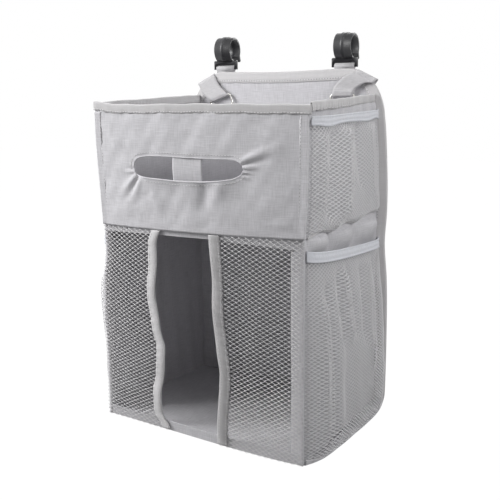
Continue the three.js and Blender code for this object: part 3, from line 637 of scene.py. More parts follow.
pockets = {  # each fold: where it stands at the mouth and at the foot, half width, height, start and end
    "front": -244.6, "wide": 244.0, "wall": 150.4, "gather": 1.18, "bandThick": 1.2, "steps": [0.0, 0.33, 0.67, 1.0],
    "upper": {
        "base": 0.0, "arch": 6.0, "low": 286.0, "high": 427.4, "drop": 0.8, "bend": 1.0, "band": 11.0, "foot": 9.0,
        "seed": 71, "full": {1: 8, -1: 8}, "swell": {1: [13.0, 13.0, 11.0, 8.5], -1: [13.0, 13.0, 11.0, 8.5]},
        "folds": [(0.36, 0.30, 0.05, 11.0, 0.1, 0.92), (0.23, 0.15, 0.045, -10.0, 0.1, 0.92),
                  (0.53, 0.64, 0.04, -9.0, 0.3, 0.94), (0.74, 0.77, 0.06, 6.0, 0.2, 0.92),
                  (0.90, 0.88, 0.035, -7.0, 0.2, 0.92), (0.09, 0.07, 0.035, 6.0, 0.2, 0.9)],
    },
    "lower": {
        "base": 20.0, "arch": 0.0, "low": 0.6, "high": 270.0, "drop": 24.0, "bend": 0.75, "band": 13.6, "foot": 30.0,
        "seed": 75, "full": {1: 8, -1: 12}, "swell": {1: [28.0, 27.0, 21.0, 10.0], -1: [14.0, 14.0, 17.0, 13.0]},
        "folds": [(0.07, 0.10, 0.03, 8.0, 0.1, 0.84), (0.135, 0.17, 0.03, -12.0, 0.08, 0.9),
                  (0.26, 0.30, 0.03, -8.0, 0.5, 0.95), (0.36, 0.60, 0.035, -9.0, 0.5, 0.95),
                  (0.31, 0.40, 0.035, 6.0, 0.5, 0.95), (0.58, 0.56, 0.035, -7.0, 0.45, 0.95),
                  (0.78, 0.72, 0.04, -8.0, 0.35, 0.95), (0.68, 0.62, 0.045, 5.0, 0.3, 0.95),
                  (0.33, 0.30, 0.06, -5.0, 0.1, 0.6)],
    },
}
sideWall = {"flange": {1: 18.0, -1: 7.0}, "run": 248, "low": 0.3, "top": 440.6, "setBack": 6.0, "fold": 1.3,
            "foldSize": 44.0, "foldTop": 400.0, "inward": 1.2, "most": 0.3, "puff": 13.0, "puffOver": 14.0,
            "puffEnds": (0.0, 67.0, 143.0, 250.0)}


def mouthDrop(form, u):
    return form["drop"] * u ** form["bend"]


def puffShape(t):
    ends = sideWall["puffEnds"]
    return sum(np.sin(math.pi * np.clip((t - a) / (b - a), 0, 1)) ** 0.8 for a, b in zip(ends, ends[1:]))


def puffs(t, z):
    # the wall swells in three puffs between the upper pocket's hem and the lower elastic
    form, shape = pockets["lower"], puffShape(t)
    low = form["high"] - mouthDrop(form, np.clip(t / pockets["wide"], 0, 1))
    high = pockets["upper"]["low"] + pockets["upper"]["arch"] * (shape - 0.5)
    tall, over = high - low, sideWall["puffOver"]
    rise = window(z, low - over, tall * 0.55 + over, high + 1, tall * 0.45)
    return np.minimum(sideWall["puff"], tall * 0.5) * shape * rise


def sideWallPoints(side, s, z):
    # s runs from the free edge of the seam allowance round the corner and along the wall to the back
    s, z = np.broadcast_arrays(np.asarray(s, float), np.asarray(z, float))
    w, corner = body["halfWidth"] - body["cloth"] / 2, sideWall["flange"][side]
    t = np.clip(s - corner, 0, None)
    x = np.where(s < corner, w - corner + s, w)
    y = body["wallFront"] + np.where(s < corner, sideWall["setBack"] * (1 - s / corner), t)
    soft = window(t, 0, 12, body["depth"] - 4, 20)  # the cloth is held at both ends
    folds = ripple(21, t, z * 0.22, sideWall["foldSize"]) * (0.5 + 0.35 * bell(z, sideWall["foldTop"], 60))
    hollow = np.minimum(sideWall["fold"] * soft * (folds - sideWall["inward"]), sideWall["most"]) + soft * puffs(t, z)
    return settle(stacked(side * (x + np.where(s < corner, 0, hollow)), y, z))


for name, side in bothSides:
    corner = sideWall["flange"][side]
    reach = corner + sideWall["run"]
    s = np.concatenate([np.linspace(0, corner - 2, 4), np.linspace(corner, reach, 90)])[None, :]
    z = np.linspace(sideWall["low"], sideWall["top"], 140)[:, None]
    made = clothGrid(name + "SideWall", sideWallPoints(side, s, z), stacked(s, z), body["cloth"], linen,
                     name + "_side_panel")
print("side walls done")


# Floor and shelf: padded boards with a lip behind the front

levels = {  # underside, top, and the lip's lower and upper edge
    "floor": (0.0, 6.8, 0.0, 13.0), "shelf": (277.2, 284.0, 271.0, 284.0),
    "half": 147.6, "front": -246.0, "back": -0.6, "lip": 1.6, "padding": 0.45, "paddingEnds": (-240.0, 30.0, 0.0, 30.0),
    "lipAt": [-148, -60, 22, 60, 148], "lipDeep": [9.0, 7.0, 7.0, 9.0, 14.0],  # the shelf's lip shows most at the corners
}


def buildLevel(name):
    low, high, lipLow, lipHigh = levels[name]
    xs = np.linspace(-levels["half"], levels["half"], 75)[:, None]
    front, back, inner = levels["front"], levels["back"], levels["front"] + levels["lip"]
    if lipHigh > high + 1:  # the lip stands up in front
        outline = [(back, low), (front, low), (front, lipHigh), (inner, lipHigh), (inner, high), (back, high)]
    else:  # the lip hangs down in front
        outline = [(back, low), (inner, low), (inner, lipLow), (front, lipLow), (front, high), (back, high)]
    points = []
    for a, b in zip(outline, outline[1:] + outline[:1]):
        steps = max(2, int(math.hypot(b[0] - a[0], b[1] - a[1]) / 7))
        points += [(a[0] + (b[0] - a[0]) * k / steps, a[1] + (b[1] - a[1]) * k / steps) for k in range(steps)]
    profile = np.array(points)
    grid = stacked(xs, profile[None, :, 0], profile[None, :, 1])
    deep = np.interp(xs, levels["lipAt"], levels["lipDeep"])
    share = (deep - (high - low)) / (lipHigh - lipLow - (high - low))
    grid[..., 2] = np.where(grid[..., 2] < low - 0.1, low - (low - grid[..., 2]) * share, grid[..., 2])
    faceUp = smooth((grid[..., 2] - (low + high) / 2) / 2)
    faceUp = faceUp * window(grid[..., 1], *levels["paddingEnds"])
    grid[..., 2] += levels["padding"] * ripple(40 + int(low), grid[..., 0], grid[..., 1], 120) * faceUp
    grid = settle(grid)
    stations, count = grid.shape[:2]
    faces = gridFaces(stations, count, True) + endCaps(stations, count)
    flat = stacked(xs, runAlong(profile)[None, :], 0.0)
    makePiece(name + "Cover", grid.reshape(-1, 3), faces, linen, flat.reshape(-1, 3), name + "_panel",
              smoothFaces=False)


buildLevel("floor")
buildLevel("shelf")
print("floor and shelf done")


# Front panel with the tissue slot and the gathers that run from its ends

slot = {
    "outline": [(-86.6, 371.4), (-78.4, 375.5), (-59.9, 377.4), (-27.1, 377.1), (14.0, 376.4), (50.5, 376.4), (61.7, 375.0),
                (68.4, 370.4), (70.2, 364.5), (67.7, 358.5), (59.8, 353.8), (46.3, 350.9), (28.0, 349.0), (4.3, 347.7),
                (-20.1, 347.8), (-45.3, 348.8), (-66.4, 349.9), (-82.4, 351.6), (-88.5, 357.0), (-89.4, 364.6)],
    "spine": (-66, 52, 363.0), "ends": (-92.0, 30.0, 78.0, 40.0), "lip": 350.0, "middle": 364.0, "top": 376.0,
    "lipOut": 5.0, "lipReach": 20.0, "topIn": 1.5, "topReach": 14.0, "stitchOut": 4.2,
}
frontCloth = {  # zones are heights with the width of their fades
    "left": -150.0, "right": 150.0, "low": 284.3, "high": 439.4, "sideFade": 14.0,
    "drape": 1.0, "drapeZone": (286.0, 20.0, 350.0, 16.0), "rimFold": 0.6, "rimZone": (380.0, 25.0, 430.0, 14.0),
    "crease": 0.35, "creaseZone": (286.0, 8.0, 432.0, 8.0),
}

# Gathers and soft folds in the front: where each starts and ends, its height and its half width.
frontFolds = [
    ((69, 375), (138, 402), 2.7, 5.0), ((70, 371), (112, 383), -2.2, 3.2), ((70, 367), (99, 368.5), 1.9, 2.2),
    ((70, 364.4), (92, 365), -1.5, 1.6), ((70, 361.6), (88, 361), 1.5, 1.7), ((70, 359), (84, 358.5), -1.2, 1.5),
    ((69, 356.4), (88, 354.5), 1.4, 1.8), ((-89, 356.4), (-112, 356.2), 1.6, 2.2), ((-89, 360), (-104, 361), -1.2, 2.0),
    ((-86, 352), (-117, 322), 2.8, 4.5), ((-82, 350), (-106, 312), -2.2, 4.5), ((-80, 346), (-112, 293), 2.2, 6.0),
    ((-60, 330), (-38, 290), 1.3, 9.0), ((-70, 330), (-50, 290), -0.9, 9.0), ((-90, 312), (-77, 288), 1.4, 5.0),
    ((40, 346), (31, 288), 2.2, 12.0), ((18, 346), (14, 288), -2.4, 10.0), ((117, 300), (148, 317), 1.6, 7.0),
    ((-128, 404), (-96, 381), 1.4, 6.0), ((20, 430), (60, 380), 1.0, 14.0), ((-40, 436), (-52, 380), 1.0, 14.0),
]


def ridgeAlong(x, z, start, end, height, width):
    # a fold that is highest near its start and dies away towards its end
    run = np.subtract(end, start)
    size = np.hypot(*run)
    along = ((x - start[0]) * run[0] + (z - start[1]) * run[1]) / size ** 2
    off = ((x - start[0]) * run[1] - (z - start[1]) * run[0]) / size
    fade = window(along, -0.12, 0.2, 1.05, 0.9)
    return height * fade * bell(off, 0, width * (0.7 + 0.6 * np.clip(along, 0, 1)))


def closedCurve(points, count):
    points = np.asarray(points, float)  # smooth closed line through the points, evenly spaced
    n = len(points)
    dense = [splinePoint(*(points[(i + k - 1) % n] for k in range(4)), t)
             for i in range(n) for t in np.linspace(0, 1, 24, endpoint=False)]
    dense = np.array(dense + dense[:1])
    return evenly(runAlong(dense), dense, count)[0]


def frontFold(x, z):
    # how far the front cloth stands out of its plane, in mm, positive towards the viewer
    out = np.zeros(np.broadcast(x, z).shape)
    for fold in frontFolds:
        out = out + ridgeAlong(x, z, *fold)
    inSlot = window(x, *slot["ends"])
    below = np.exp(-np.clip(slot["lip"] - z, 0, None) / slot["lipReach"]) * (z < slot["middle"])
    above = np.exp(-np.clip(z - slot["top"], 0, None) / slot["topReach"]) * (z >= slot["middle"])
    out = out + slot["lipOut"] * inSlot * below - slot["topIn"] * inSlot * above
    out = out + frontCloth["drape"] * window(z, *frontCloth["drapeZone"]) * ripple(17, x, z * 0.25, 42)
    out = out + frontCloth["rimFold"] * window(z, *frontCloth["rimZone"]) * ripple(19, x, z * 0.3, 60)
    out = out + frontCloth["crease"] * ripple(23, x, z, 33) * window(z, *frontCloth["creaseZone"])
    return out * smooth((body["halfWidth"] - np.abs(x)) / frontCloth["sideFade"])


def frontPoint(x, z, proud=0.0):
    return settle(stacked(x, body["frontFace"] - frontFold(x, z) - proud, z))


def buildFront():
    inner = closedCurve(slot["outline"], 260)
    left, right, low, high = (frontCloth[k] for k in ("left", "right", "low", "high"))
    aim = unit(inner - stacked(np.clip(inner[:, 0], *slot["spine"][:2]), slot["spine"][2]))
    with np.errstate(divide="ignore"):
        tx = np.where(aim[:, 0] > 0, (right - inner[:, 0]) / aim[:, 0], (left - inner[:, 0]) / aim[:, 0])
        tz = np.where(aim[:, 1] > 0, (high - inner[:, 1]) / aim[:, 1], (low - inner[:, 1]) / aim[:, 1])
    reach = np.minimum(np.where(np.isfinite(tx), tx, 1e9), np.where(np.isfinite(tz), tz, 1e9))
    outer = inner + aim * reach[:, None]
    for corner in ((left, low), (right, low), (right, high), (left, high)):
        outer[np.argmin(np.hypot(outer[:, 0] - corner[0], outer[:, 1] - corner[1]))] = corner
    shares = np.concatenate([[0, 0.012, 0.03, 0.06], np.linspace(0.1, 1, 34)])
    plane = inner[None] + (outer - inner)[None] * shares[:, None, None]
    made = clothGrid("frontCloth", frontPoint(plane[..., 0], plane[..., 1]), plane, body["cloth"], linen,
                     "front_panel", loop=True)

    count = 300
    edge = closedCurve(slot["outline"], count)
    ahead = unit(np.roll(edge, -1, 0) - np.roll(edge, 1, 0))
    out = np.stack([-ahead[:, 1], ahead[:, 0]], 1)
    if (out * (edge - edge.mean(0))).sum() < 0:
        out = -out
    path = (frontPoint(edge[:, 0], edge[:, 1]), stacked(out[:, 0], 0.0, out[:, 1]), same((0, -1, 0), count))
    tapeAlong("slotHem", path, roundProfile(1.0, 1.35, 10), linen, loop=True)
    seam = edge + out * slot["stitchOut"]
    line = frontPoint(seam[:, 0], seam[:, 1], 1.0)
    sewRow("slotStitch", np.concatenate([line, line[:1]]), same((0, -1, 0), count + 1), width=0.35, hole=0.12)


buildFront()
print("front panel done")


# Rim: tape folded over the top edges, gathered where the pocket elastics pull

rim = {"band": 9.8, "tape": 0.7, "gap": 2.0, "stitchUp": 1.7, "uneven": 0.4, "frontTop": 440.2, "frontCloth": 436.0,
       "leftLift": 3.0, "liftFrom": -112.0, "liftFade": 36.0, "sideTop": 442.2, "sideCloth": 438.0, "backLift": 3.6}


def frontRimLine(x):
    z = rim["frontTop"] + rim["leftLift"] * smooth((rim["liftFrom"] - x) / rim["liftFade"])
    z = z + rim["uneven"] * np.sin(x / 37.0 + 1) + rim["uneven"] * ripple(31, x, x * 0, 70)
    p = frontPoint(x, rim["frontCloth"])
    p[:, 2] = z
    return p


def sideRimLine(side, t):
    p = sideWallPoints(side, sideWall["flange"][side] + t, rim["sideCloth"])
    p[:, 2] = rim["sideTop"] + rim["backLift"] * t / body["depth"] + rim["uneven"] * ripple(33 + side, t, t * 0, 60)
    return p


def rimProfile():
    shape = foldedProfile(rim["band"], rim["gap"], rim["tape"])
    out = []
    for a, b in zip(shape, np.roll(shape, -1, 0)):  # the long legs get more points so that they can wave
        parts = 6 if np.hypot(*(b - a)) > rim["band"] / 2 else 1
        out += [a + (b - a) * k / parts for k in range(parts)]
    return np.array(out)


def bindEdge(name, line, facing, run, depth, pitch, hole):
    shape = np.repeat(rimProfile()[None], len(run), 0)
    low = smooth(shape[..., 0] / rim["band"])
    gathers = wave(run, pitch, 1.3 * np.sin(run / 29.0)) * (0.7 + 0.3 * np.sin(run / 47.0))
    shape[..., 1] += low * (depth * gathers)[:, None]
    dent = bell(shape[..., 0], rim["band"] - rim["stitchUp"], 1.5) * 0.35
    shape[..., 1] -= np.sign(shape[..., 1]) * dent
    legs = shape[..., 0] > rim["band"] - 0.2
    shape[..., 0] += legs * (rim["uneven"] * wave(run, 13.0, 1))[:, None]
    across = same(facing, len(run))
    path = (line, same((0, 0, -1), len(run)), across)
    tapeAlong(name + "RimTape", path, shape, tapeCloth, name + "_rim_binding")
    lift = rim["gap"] / 2 + rim["tape"] - 0.25
    seam = line + across * lift + [0, 0, -rim["band"] + rim["stitchUp"]]
    sewRow(name + "RimStitch", seam, across, hole=hole)


x = np.linspace(-151.5, 151.5, 240)
bindEdge("front", frontRimLine(x), (0, -1, 0), x + 200, depth=0.3, pitch=17.0, hole=0.3)
t = np.linspace(2.2, 246.6, 300)
for name, side in bothSides:
    gathered = 0.15 + 1.15 * smooth((150 - t) / 60)  # most towards the front
    bindEdge(name, sideRimLine(side, t), (side, 0, 0), t, depth=gathered, pitch=7.5, hole=0.5)

cornerTape = {"front": 10.5, "side": 4.0, "thick": 0.3, "low": 284.6, "high": 431.5, "x": 150.2, "y": -250.5,
              "stitchIn": 1.8}


def buildCornerTape(name, side):
    count = 70
    z = np.linspace(cornerTape["low"], cornerTape["high"], count)
    corner = settle(stacked(side * cornerTape["x"], cornerTape["y"], z))
    pucker = 0.35 * wave(z, 10.0) + 0.25 * wave(z, 27.0137)
    t, f, s = cornerTape["thick"], cornerTape["front"], cornerTape["side"]
    outline = np.array([(f, -t), (f - 3, -t), (1.2, -t), (0.1, -t), (-t * 0.7, -t * 0.7), (-t, 0.1), (-t, 1.2), (-t, s),
                        (-0.1, s), (-0.05, 1.2), (0.0, 0.0), (1.2, -0.1), (f, -0.1)])
    profile = np.repeat(outline[None], count, 0)
    profile[:, 0, 0] += pucker
    profile[:, -1, 0] += pucker
    profile[:, 7:9, 1] += 0.6 * pucker[:, None]
    path = (corner, same((-side, 0, 0), count), same((0, 1, 0), count))
    tapeAlong(name + "CornerTape", path, profile, linen, name + "_corner_binding")
    seam = corner + [-side * (f - cornerTape["stitchIn"]), -t - 0.1, 0.0]
    sewRow(name + "CornerStitch", seam, same((0, -1, 0), count), width=0.4, hole=0.22)


for name, side in bothSides:
    buildCornerTape(name, side)
print("rim and corner tapes done")


# Nets: a knitted mesh with real holes, laid out flat and then mapped to where it hangs

netForm = {
    "thick": 0.6, "edge": 0.35, "step": 0.4, "shoulder": 0.07, "point": 0.43, "eyeShoulder": 0.3, "fullness": 1.45,
    "front": {"wide": 9.4, "high": 5.7, "open": (7.0, 4.3)}, "pocket": {"wide": 8.4, "high": 5.0, "open": (5.5, 3.3)},
}


def sixSides(a, b, c):
    return [(-a, -b), (0, -c), (a, -b), (a, b), (0, c), (-a, b)]


def netPiece(name, node, kind, low, high, inside, place, material):
    # staggered holes with six sides; low and high are the flat corners, place maps flat points to the piece
    wide, tall = netForm[kind]["wide"], netForm[kind]["high"]
    columns = np.arange(math.floor(low[0] / wide) - 1, math.ceil(high[0] / wide) + 2)
    rows = np.arange(math.floor(low[1] / tall * 2) - 1, math.ceil(high[1] / tall * 2) + 2)
    a, b = (size / 2 for size in netForm[kind]["open"])
    cell = sixSides(wide / 2, tall * netForm["shoulder"], tall * netForm["point"])
    hole = sixSides(a, b * netForm["eyeShoulder"], b)
    keys, flat, faces, ridge = {}, [], [], []

    def vertex(p):
        key = (round(p[0] * 50), round(p[1] * 50))
        if key not in keys:
            keys[key] = len(flat)
            flat.append(p)
            ridge.append(1.0)
        return keys[key]

    centres = np.array([((c + 0.5 * (r % 2)) * wide, r * tall / 2) for r in rows for c in columns])
    keep = inside(centres[:, 0], centres[:, 1])
    for x, y in centres[keep]:
        around = [vertex((x + p[0], y + p[1])) for p in cell]
        eye = [len(flat) + k for k in range(6)]
        flat += [(x + p[0], y + p[1]) for p in hole]
        ridge += [netForm["edge"]] * 6
        for k in range(6):
            n = (k + 1) % 6
            faces.append((around[k], around[n], eye[n], eye[k]))
    flat, ridge = np.array(flat), np.array(ridge)
    u, v, step = flat[:, 0], flat[:, 1], netForm["step"]
    middle = place(u, v)
    n = np.cross(place(u + step, v) - place(u - step, v), place(u, v + step) - place(u, v - step))
    n = unit(n) * ridge[:, None] * netForm["thick"] / 2
    size = len(flat)
    edges = {(face[k], face[(k + 1) % 4]) for face in faces for k in range(4)}
    walls = [(q, p, p + size, q + size) for p, q in sorted(edges) if (q, p) not in edges]
    back = [tuple(i + size for i in face[::-1]) for face in faces]
    flat = np.c_[flat, np.zeros(size)]
    made = makePiece(name, np.concatenate([middle + n, middle - n]), faces + back + walls, material,
                     np.concatenate([flat, flat]), node)
    strands = 1 - 2 * (1 + netForm["eyeShoulder"]) * a * b / (wide * tall / 2)  # share of a cell that is yarn
    return made, keep.sum() * wide * tall / 2 * strands * netForm["fullness"] / 1e6


doorway = {  # the two loose edges of the front net, by height
    "gap": 1.7, "thick": 0.6, "low": 3.2, "high": 283.4, "fade": 30.0, "curlReach": 22.0, "edgeReach": 26.0, "slack": 0.8,
    "inset": 3.5, "stitchIn": 2.0, "stitchOut": 1.8,
    -1: {"height": [0, 7.5, 19.5, 58, 91, 129, 136, 182, 190, 264, 272, 284],
         "edge": [-46.2, -48.5, -61.0, -59.9, -53.5, -50.0, -53.7, -59.6, -61.6, -60.6, -58.5, -50.5],
         "curl": -2.0, "tape": 11.0, "net": 97.0},
    1: {"height": [0, 16, 34, 71, 107, 134.5, 167.6, 213.6, 255, 284],
        "edge": [27.8, 28.1, 28.6, 32.6, 36.0, 33.5, 30.3, 28.4, 26.0, 23.0],
        "curl": 1.0, "tape": 13.0, "net": 128.0},
}


def doorEdge(side, z):
    form = doorway[side]  # the corners between the set points are softened
    return sum(np.interp(z + d, form["height"], form["edge"]) for d in (-5, -2.5, 0, 2.5, 5)) / 5


def netPoint(side, x, z):
    edge = doorEdge(side, z)
    loose = window(z, 0, doorway["fade"], body["shelf"], doorway["fade"])
    curl = doorway[side]["curl"] * smooth(1 - side * (x - edge) / doorway["curlReach"])
    fold = bell(x, edge, doorway["edgeReach"]) * ripple(51 + side, z, x * 0.2, 60)
    fold = fold + doorway["slack"] * ripple(53 + side, x, z * 0.4, 55) + curl
    return settle(stacked(x, body["frontFace"] - loose * fold, z))


def buildFrontNet(name, side):
    def inside(x, z):
        clear = side * (x - doorEdge(side, z)) > doorway["inset"]
        return clear & (np.abs(x) < body["halfWidth"] - 1) & (z > 1.5) & (z < body["shelf"] - 0.5)

    def place(x, z):
        return netPoint(side, x, np.clip(z, 0.3, body["shelf"]))

    made, area = netPiece(name + "FrontNet", name + "_front_net", "front", (-151, 0), (151, body["shelf"]), inside, place,
                          netYarn)

    tape, gap, thick = doorway[side]["tape"], doorway["gap"], doorway["thick"]
    z = np.linspace(doorway["low"], doorway["high"], 150)
    edge = doorEdge(side, z)
    middle = netPoint(side, edge + side * 0.8, z)
    first = unit(netPoint(side, edge + side * (tape - 1), z) - middle)
    second = unit(np.cross(first, np.gradient(middle, axis=0)) * -side)
    second *= np.where(second[:, 1:2] > 0, -1, 1)
    profile = np.repeat(foldedProfile(tape, gap, thick)[None], len(z), 0)
    uneven = 0.4 * wave(z, 12.0061) + 0.3 * wave(z, 31.0157, 2)
    profile[..., 0] += (profile[..., 0] > tape - 0.2) * uneven[:, None]
    tapeAlong(name + "DoorwayTape", (middle, first, second), profile, tapeCloth, name + "_doorway_tape")
    for tag, at in (("In", doorway["stitchIn"]), ("Out", tape - doorway["stitchOut"])):
        sewRow(name + "DoorwayStitch" + tag, middle + first * at + second * (gap / 2 + thick - 0.1), second)


for name, side in bothSides:
    buildFrontNet(name, side)
print("front nets done")


# Side pockets: gathered mesh bags, each with an elastic at the mouth


def footShare(side, form):
    arc = math.pi / 2 * math.sqrt((form["swell"][side][0] ** 2 + form["foot"] ** 2) / 2)
    total = form["high"] - form["low"] - form["foot"] + arc
    return arc / total, total


def pocketPoint(side, form, u, v, proud=0.0):
    # u runs from the front to the back; v runs up the flat mesh, first round the foot and then to the mouth
    u, v = np.broadcast_arrays(np.clip(u, 0.0, 1.0), np.clip(v, 0.0, 1.0))
    foot, total = footShare(side, form)
    turn = np.clip(v / foot, 0, 1) * math.pi / 2
    lift = np.clip((v - foot) / (1 - foot), 0, 1)
    girth = 1 - np.abs(2 * u - 1) ** form["full"][side]
    out = curveThrough(lift, pockets["steps"], form["swell"][side])
    for high, low, width, height, start, end in form["folds"]:
        out = out + height * bell(u, low + (high - low) * v, width) * window(v, start, 0.12, end, 0.1)
    out = out + 0.8 * ripple(form["seed"], u * pockets["wide"], v * total, 70) * smooth((0.92 - v) / 0.1)
    top = form["high"] - mouthDrop(form, u)
    z = form["low"] + form["foot"] * (1 - np.cos(turn)) + (top - form["low"] - form["foot"]) * lift
    z = z + form["arch"] * (puffShape(u * pockets["wide"] + pockets["front"] - body["wallFront"]) - 0.5) * (1 - v) ** 2
    edge = form["base"] * (0.45 + 0.55 * smooth((u - 0.15) / 0.6))  # the hem stands off the wall, most at the back
    x = side * (pockets["wall"] + proud + girth * (edge + (np.maximum(out, 1.0) - edge) * np.sin(turn)))
    return settle(stacked(x, pockets["front"] + pockets["wide"] * u, z))


def mouthRun(side, form):
    # length along the gathered mesh from the front, so that its cells stay even round the ends
    u = np.linspace(0, 1, 500)
    reach = (1 - np.abs(2 * u - 1) ** form["full"][side]) * np.mean(form["swell"][side])
    return u, np.concatenate([[0], np.cumsum(np.hypot(np.diff(u) * pockets["wide"], np.diff(reach)))])


def buildPocket(name, side, level):
    form, title, node = pockets[level], name + level.capitalize(), name + "_" + level
    foot, tall = footShare(side, form)
    us, run = mouthRun(side, form)
    wide, band = run[-1], 1 - form["band"] / tall
    loose = wide * pockets["gather"]

    def inside(a, b):
        return (a > 2.5) & (a < loose - 2.5) & (b > 1.5) & (b < band * tall + 4)

    def place(a, b):
        return pocketPoint(side, form, np.interp(a / pockets["gather"], run, us), b / tall)

    def wavy(at):
        return 1.3 * np.sin(at / 15 + side + 1.5 * np.sin(at / 37)) * (level == "upper") / tall

    made, area = netPiece(title + "Mesh", node + "_pocket", "pocket", (0, 0), (loose, tall), inside, place, paintedLitPocketYarn)

    at = np.linspace(0, wide, 170)[None, :]
    u = np.interp(at, run, us)
    shares = np.linspace(0, 1, 11)[:, None]
    v = band + (1 - band) * shares + wavy(at) * (1 - shares)
    channel = 0.25 * np.cos(shares * 4 * math.pi) * window(u, 0, 0.02, 1, 0.02)
    grid = pocketPoint(side, form, u, v, 1.4 + channel)
    flat = stacked(at, shares * form["band"])
    made = clothGrid(title + "Elastic", grid, flat, pockets["bandThick"], elasticTape, node + "_elastic")

    at = np.linspace(1, wide - 1, 150)
    u = np.interp(at, run, us)
    up, out = same((0, 0, 1), 150), same((side, 0, 0), 150)
    seam = pocketPoint(side, form, u, (1 + band) / 2, 2.0)
    sewRow(title + "ElasticStitch", seam, out, width=0.4)
    if level == "upper":
        line = pocketPoint(side, form, u, band + wavy(at), 1.5)
        tapeAlong(title + "ElasticRoll", (line, up, out), roundProfile(0.9, 0.8, 8), elasticTape)
        scallop = np.abs(np.sin(at / 11.0))
        hem = pocketPoint(side, form, u, 0.004 + 0.008 * scallop, 1.4 + 1.0 * scallop)
        tapeAlong(title + "Hem", (hem, up, out), roundProfile(1.3, 0.8, 8), tapeCloth)
    else:  # the seam under the bag
        wall = settle(stacked(side * body["halfWidth"], pockets["front"] + pockets["wide"] * u, sideWall["low"]))
        rows = [wall - [side * 1.5, 0, 0]]
        rows += [pocketPoint(side, form, u, foot * k, 0.8) for k in (0.0, 0.12, 0.24, 0.35, 0.44)]
        flat = stacked(at[None, :], np.array([0.0, 8.0, 10.0, 12.0, 14.0, 16.0])[:, None])
        clothGrid(title + "Hem", np.array(rows), flat, 0.7, linen)


for name, side in bothSides:
    for level in ("upper", "lower"):
        buildPocket(name, side, level)
print("side pockets done")


# Divider: covered board that lifts out, with a cloth tab at each end

divider = {"middle": -8.0, "low": 284.4, "high": 412.2, "front": -244.2, "back": -2.7, "thick": 6.2, "tab": 42.0,
           "tabFront": -245.3, "tabBack": -2.4, "hem": 5.0, "press": 10.0}


def buildDivider():
    middle, low, high, front, back = (divider[k] for k in ("middle", "low", "high", "front", "back"))
    y, z = np.linspace(front, back, 70)[None, :], np.linspace(low, high, 40)[:, None]
    near = np.minimum(np.minimum(y - front, back - y), np.minimum(z - low, high - z))
    puff = np.sqrt(1 - (1 - np.clip(near / 3.0, 0, 1)) ** 2) * 0.75 + 0.25
    wavy = 0.35 * ripple(81, y, z, 70) * smooth(near / 8)
    points = np.concatenate([
        stacked(middle + facing * (divider["thick"] / 2 * puff + wavy * 0.6), y, z).reshape(-1, 3) for facing in (1, -1)])
    makePiece("dividerCover", points, sheetFaces(40, 70), linen, points[:, [1, 2, 0]], "divider_panel", "divider")
    run = np.linspace(front + 4, back - 4, 60)
    for tag, facing in (("Left", -1), ("Right", 1)):
        seam = stacked(middle + facing * (divider["thick"] / 2 + 0.15), run, high - divider["hem"])
        sewRow("dividerStitch" + tag, seam, same((facing, 0, 0), 60), "divider")

    half = divider["tab"] / 2
    x = np.linspace(middle - half, middle + half, 22)[None, :]
    z = np.linspace(low, high - 0.4, 44)[:, None]
    for tag, facing in (("Front", -1), ("Back", 1)):
        curl = 0.12 * ripple(85 + facing, x, z, 40) + (facing < 0) * divider["press"] * bell(z, 362, 45)
        grid = stacked(x, divider["tab" + tag] - curl, z)
        made = clothGrid("divider" + tag + "Tab", grid, stacked(x, z), body["cloth"] * 0.9, linen,
                         "divider_" + tag.lower() + "_tab", rideOn="divider")


buildDivider()
print("divider done")


# Hooks, webbing tabs, rings and straps

hardware = {
    "hookRound": 0.7, "tabRound": 0.35, "ringPlane": -4.0, "ringLow": 426.8, "ringHalf": 18.1, "ringCorner": 4.0,
    "wire": 1.6, "strapWide": 31.5, "strapThick": 1.2, "standoff": 0.9, "tilt": 26.0, "behind": 8.0, "inset": 3.0,
    "tail": 15.0, "flatAngle": 2, "sharpAngle": 32,
    -1: {"ring": -103.5, "ringTop": 443.5, "lean": 32.0, "tabShift": -7.5, "ringTilt": 20.0, "bend": [(120.0, -4.0, 457.0)]},
    1: {"ring": 96.0, "ringTop": 446.5, "lean": 33.0, "tabShift": 0.0, "ringTilt": 0.0,
        "bend": [(116.0, -4.5, 468.0), (107.0, -5.4, 462.5), (99.5, -5.6, 456.0)]},
}


def copyNode(node, name, material):
    made = bpy.data.objects.new(name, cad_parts[node].data.copy())
    scene.collection.objects.link(made)
    made.data.materials.clear()
    made.data.materials.append(material)
    work = bmesh.new()
    work.from_mesh(made.data)
    bmesh.ops.remove_doubles(work, verts=work.verts, dist=1e-6)
    return made, work


def meshPoints(mesh):
    where = np.zeros(len(mesh.vertices) * 3, np.float32)
    mesh.vertices.foreach_get("co", where)
    return where.reshape(-1, 3)


def roundedCopy(node, name, material, width, segments, rideOn="organizer", shift=0.0):
    # the node's own form with its edges rounded
    made, work = copyNode(node, name, material)
    bmesh.ops.translate(work, verts=work.verts, vec=(shift / 1000, 0, 0))
    flat, least = (math.radians(hardware[k]) for k in ("flatAngle", "sharpAngle"))
    bmesh.ops.dissolve_limit(work, angle_limit=flat, verts=work.verts, edges=work.edges)
    sharp = [e for e in work.edges if len(e.link_faces) == 2 and e.calc_face_angle() > least]
    bmesh.ops.bevel(work, geom=sharp, offset=width / 1000, segments=segments, affect="EDGES", clamp_overlap=True)
    mesh = made.data
    work.to_mesh(mesh)
    work.free()
    mesh.polygons.foreach_set("use_smooth", np.ones(len(mesh.polygons), bool))
    layer = mesh.attributes.new("flatMap", "FLOAT_VECTOR", "POINT")
    layer.data.foreach_set("vector", meshPoints(mesh)[:, [2, 0, 1]].ravel().copy())
    mesh.update()
    enlist(made, rideOn, node)


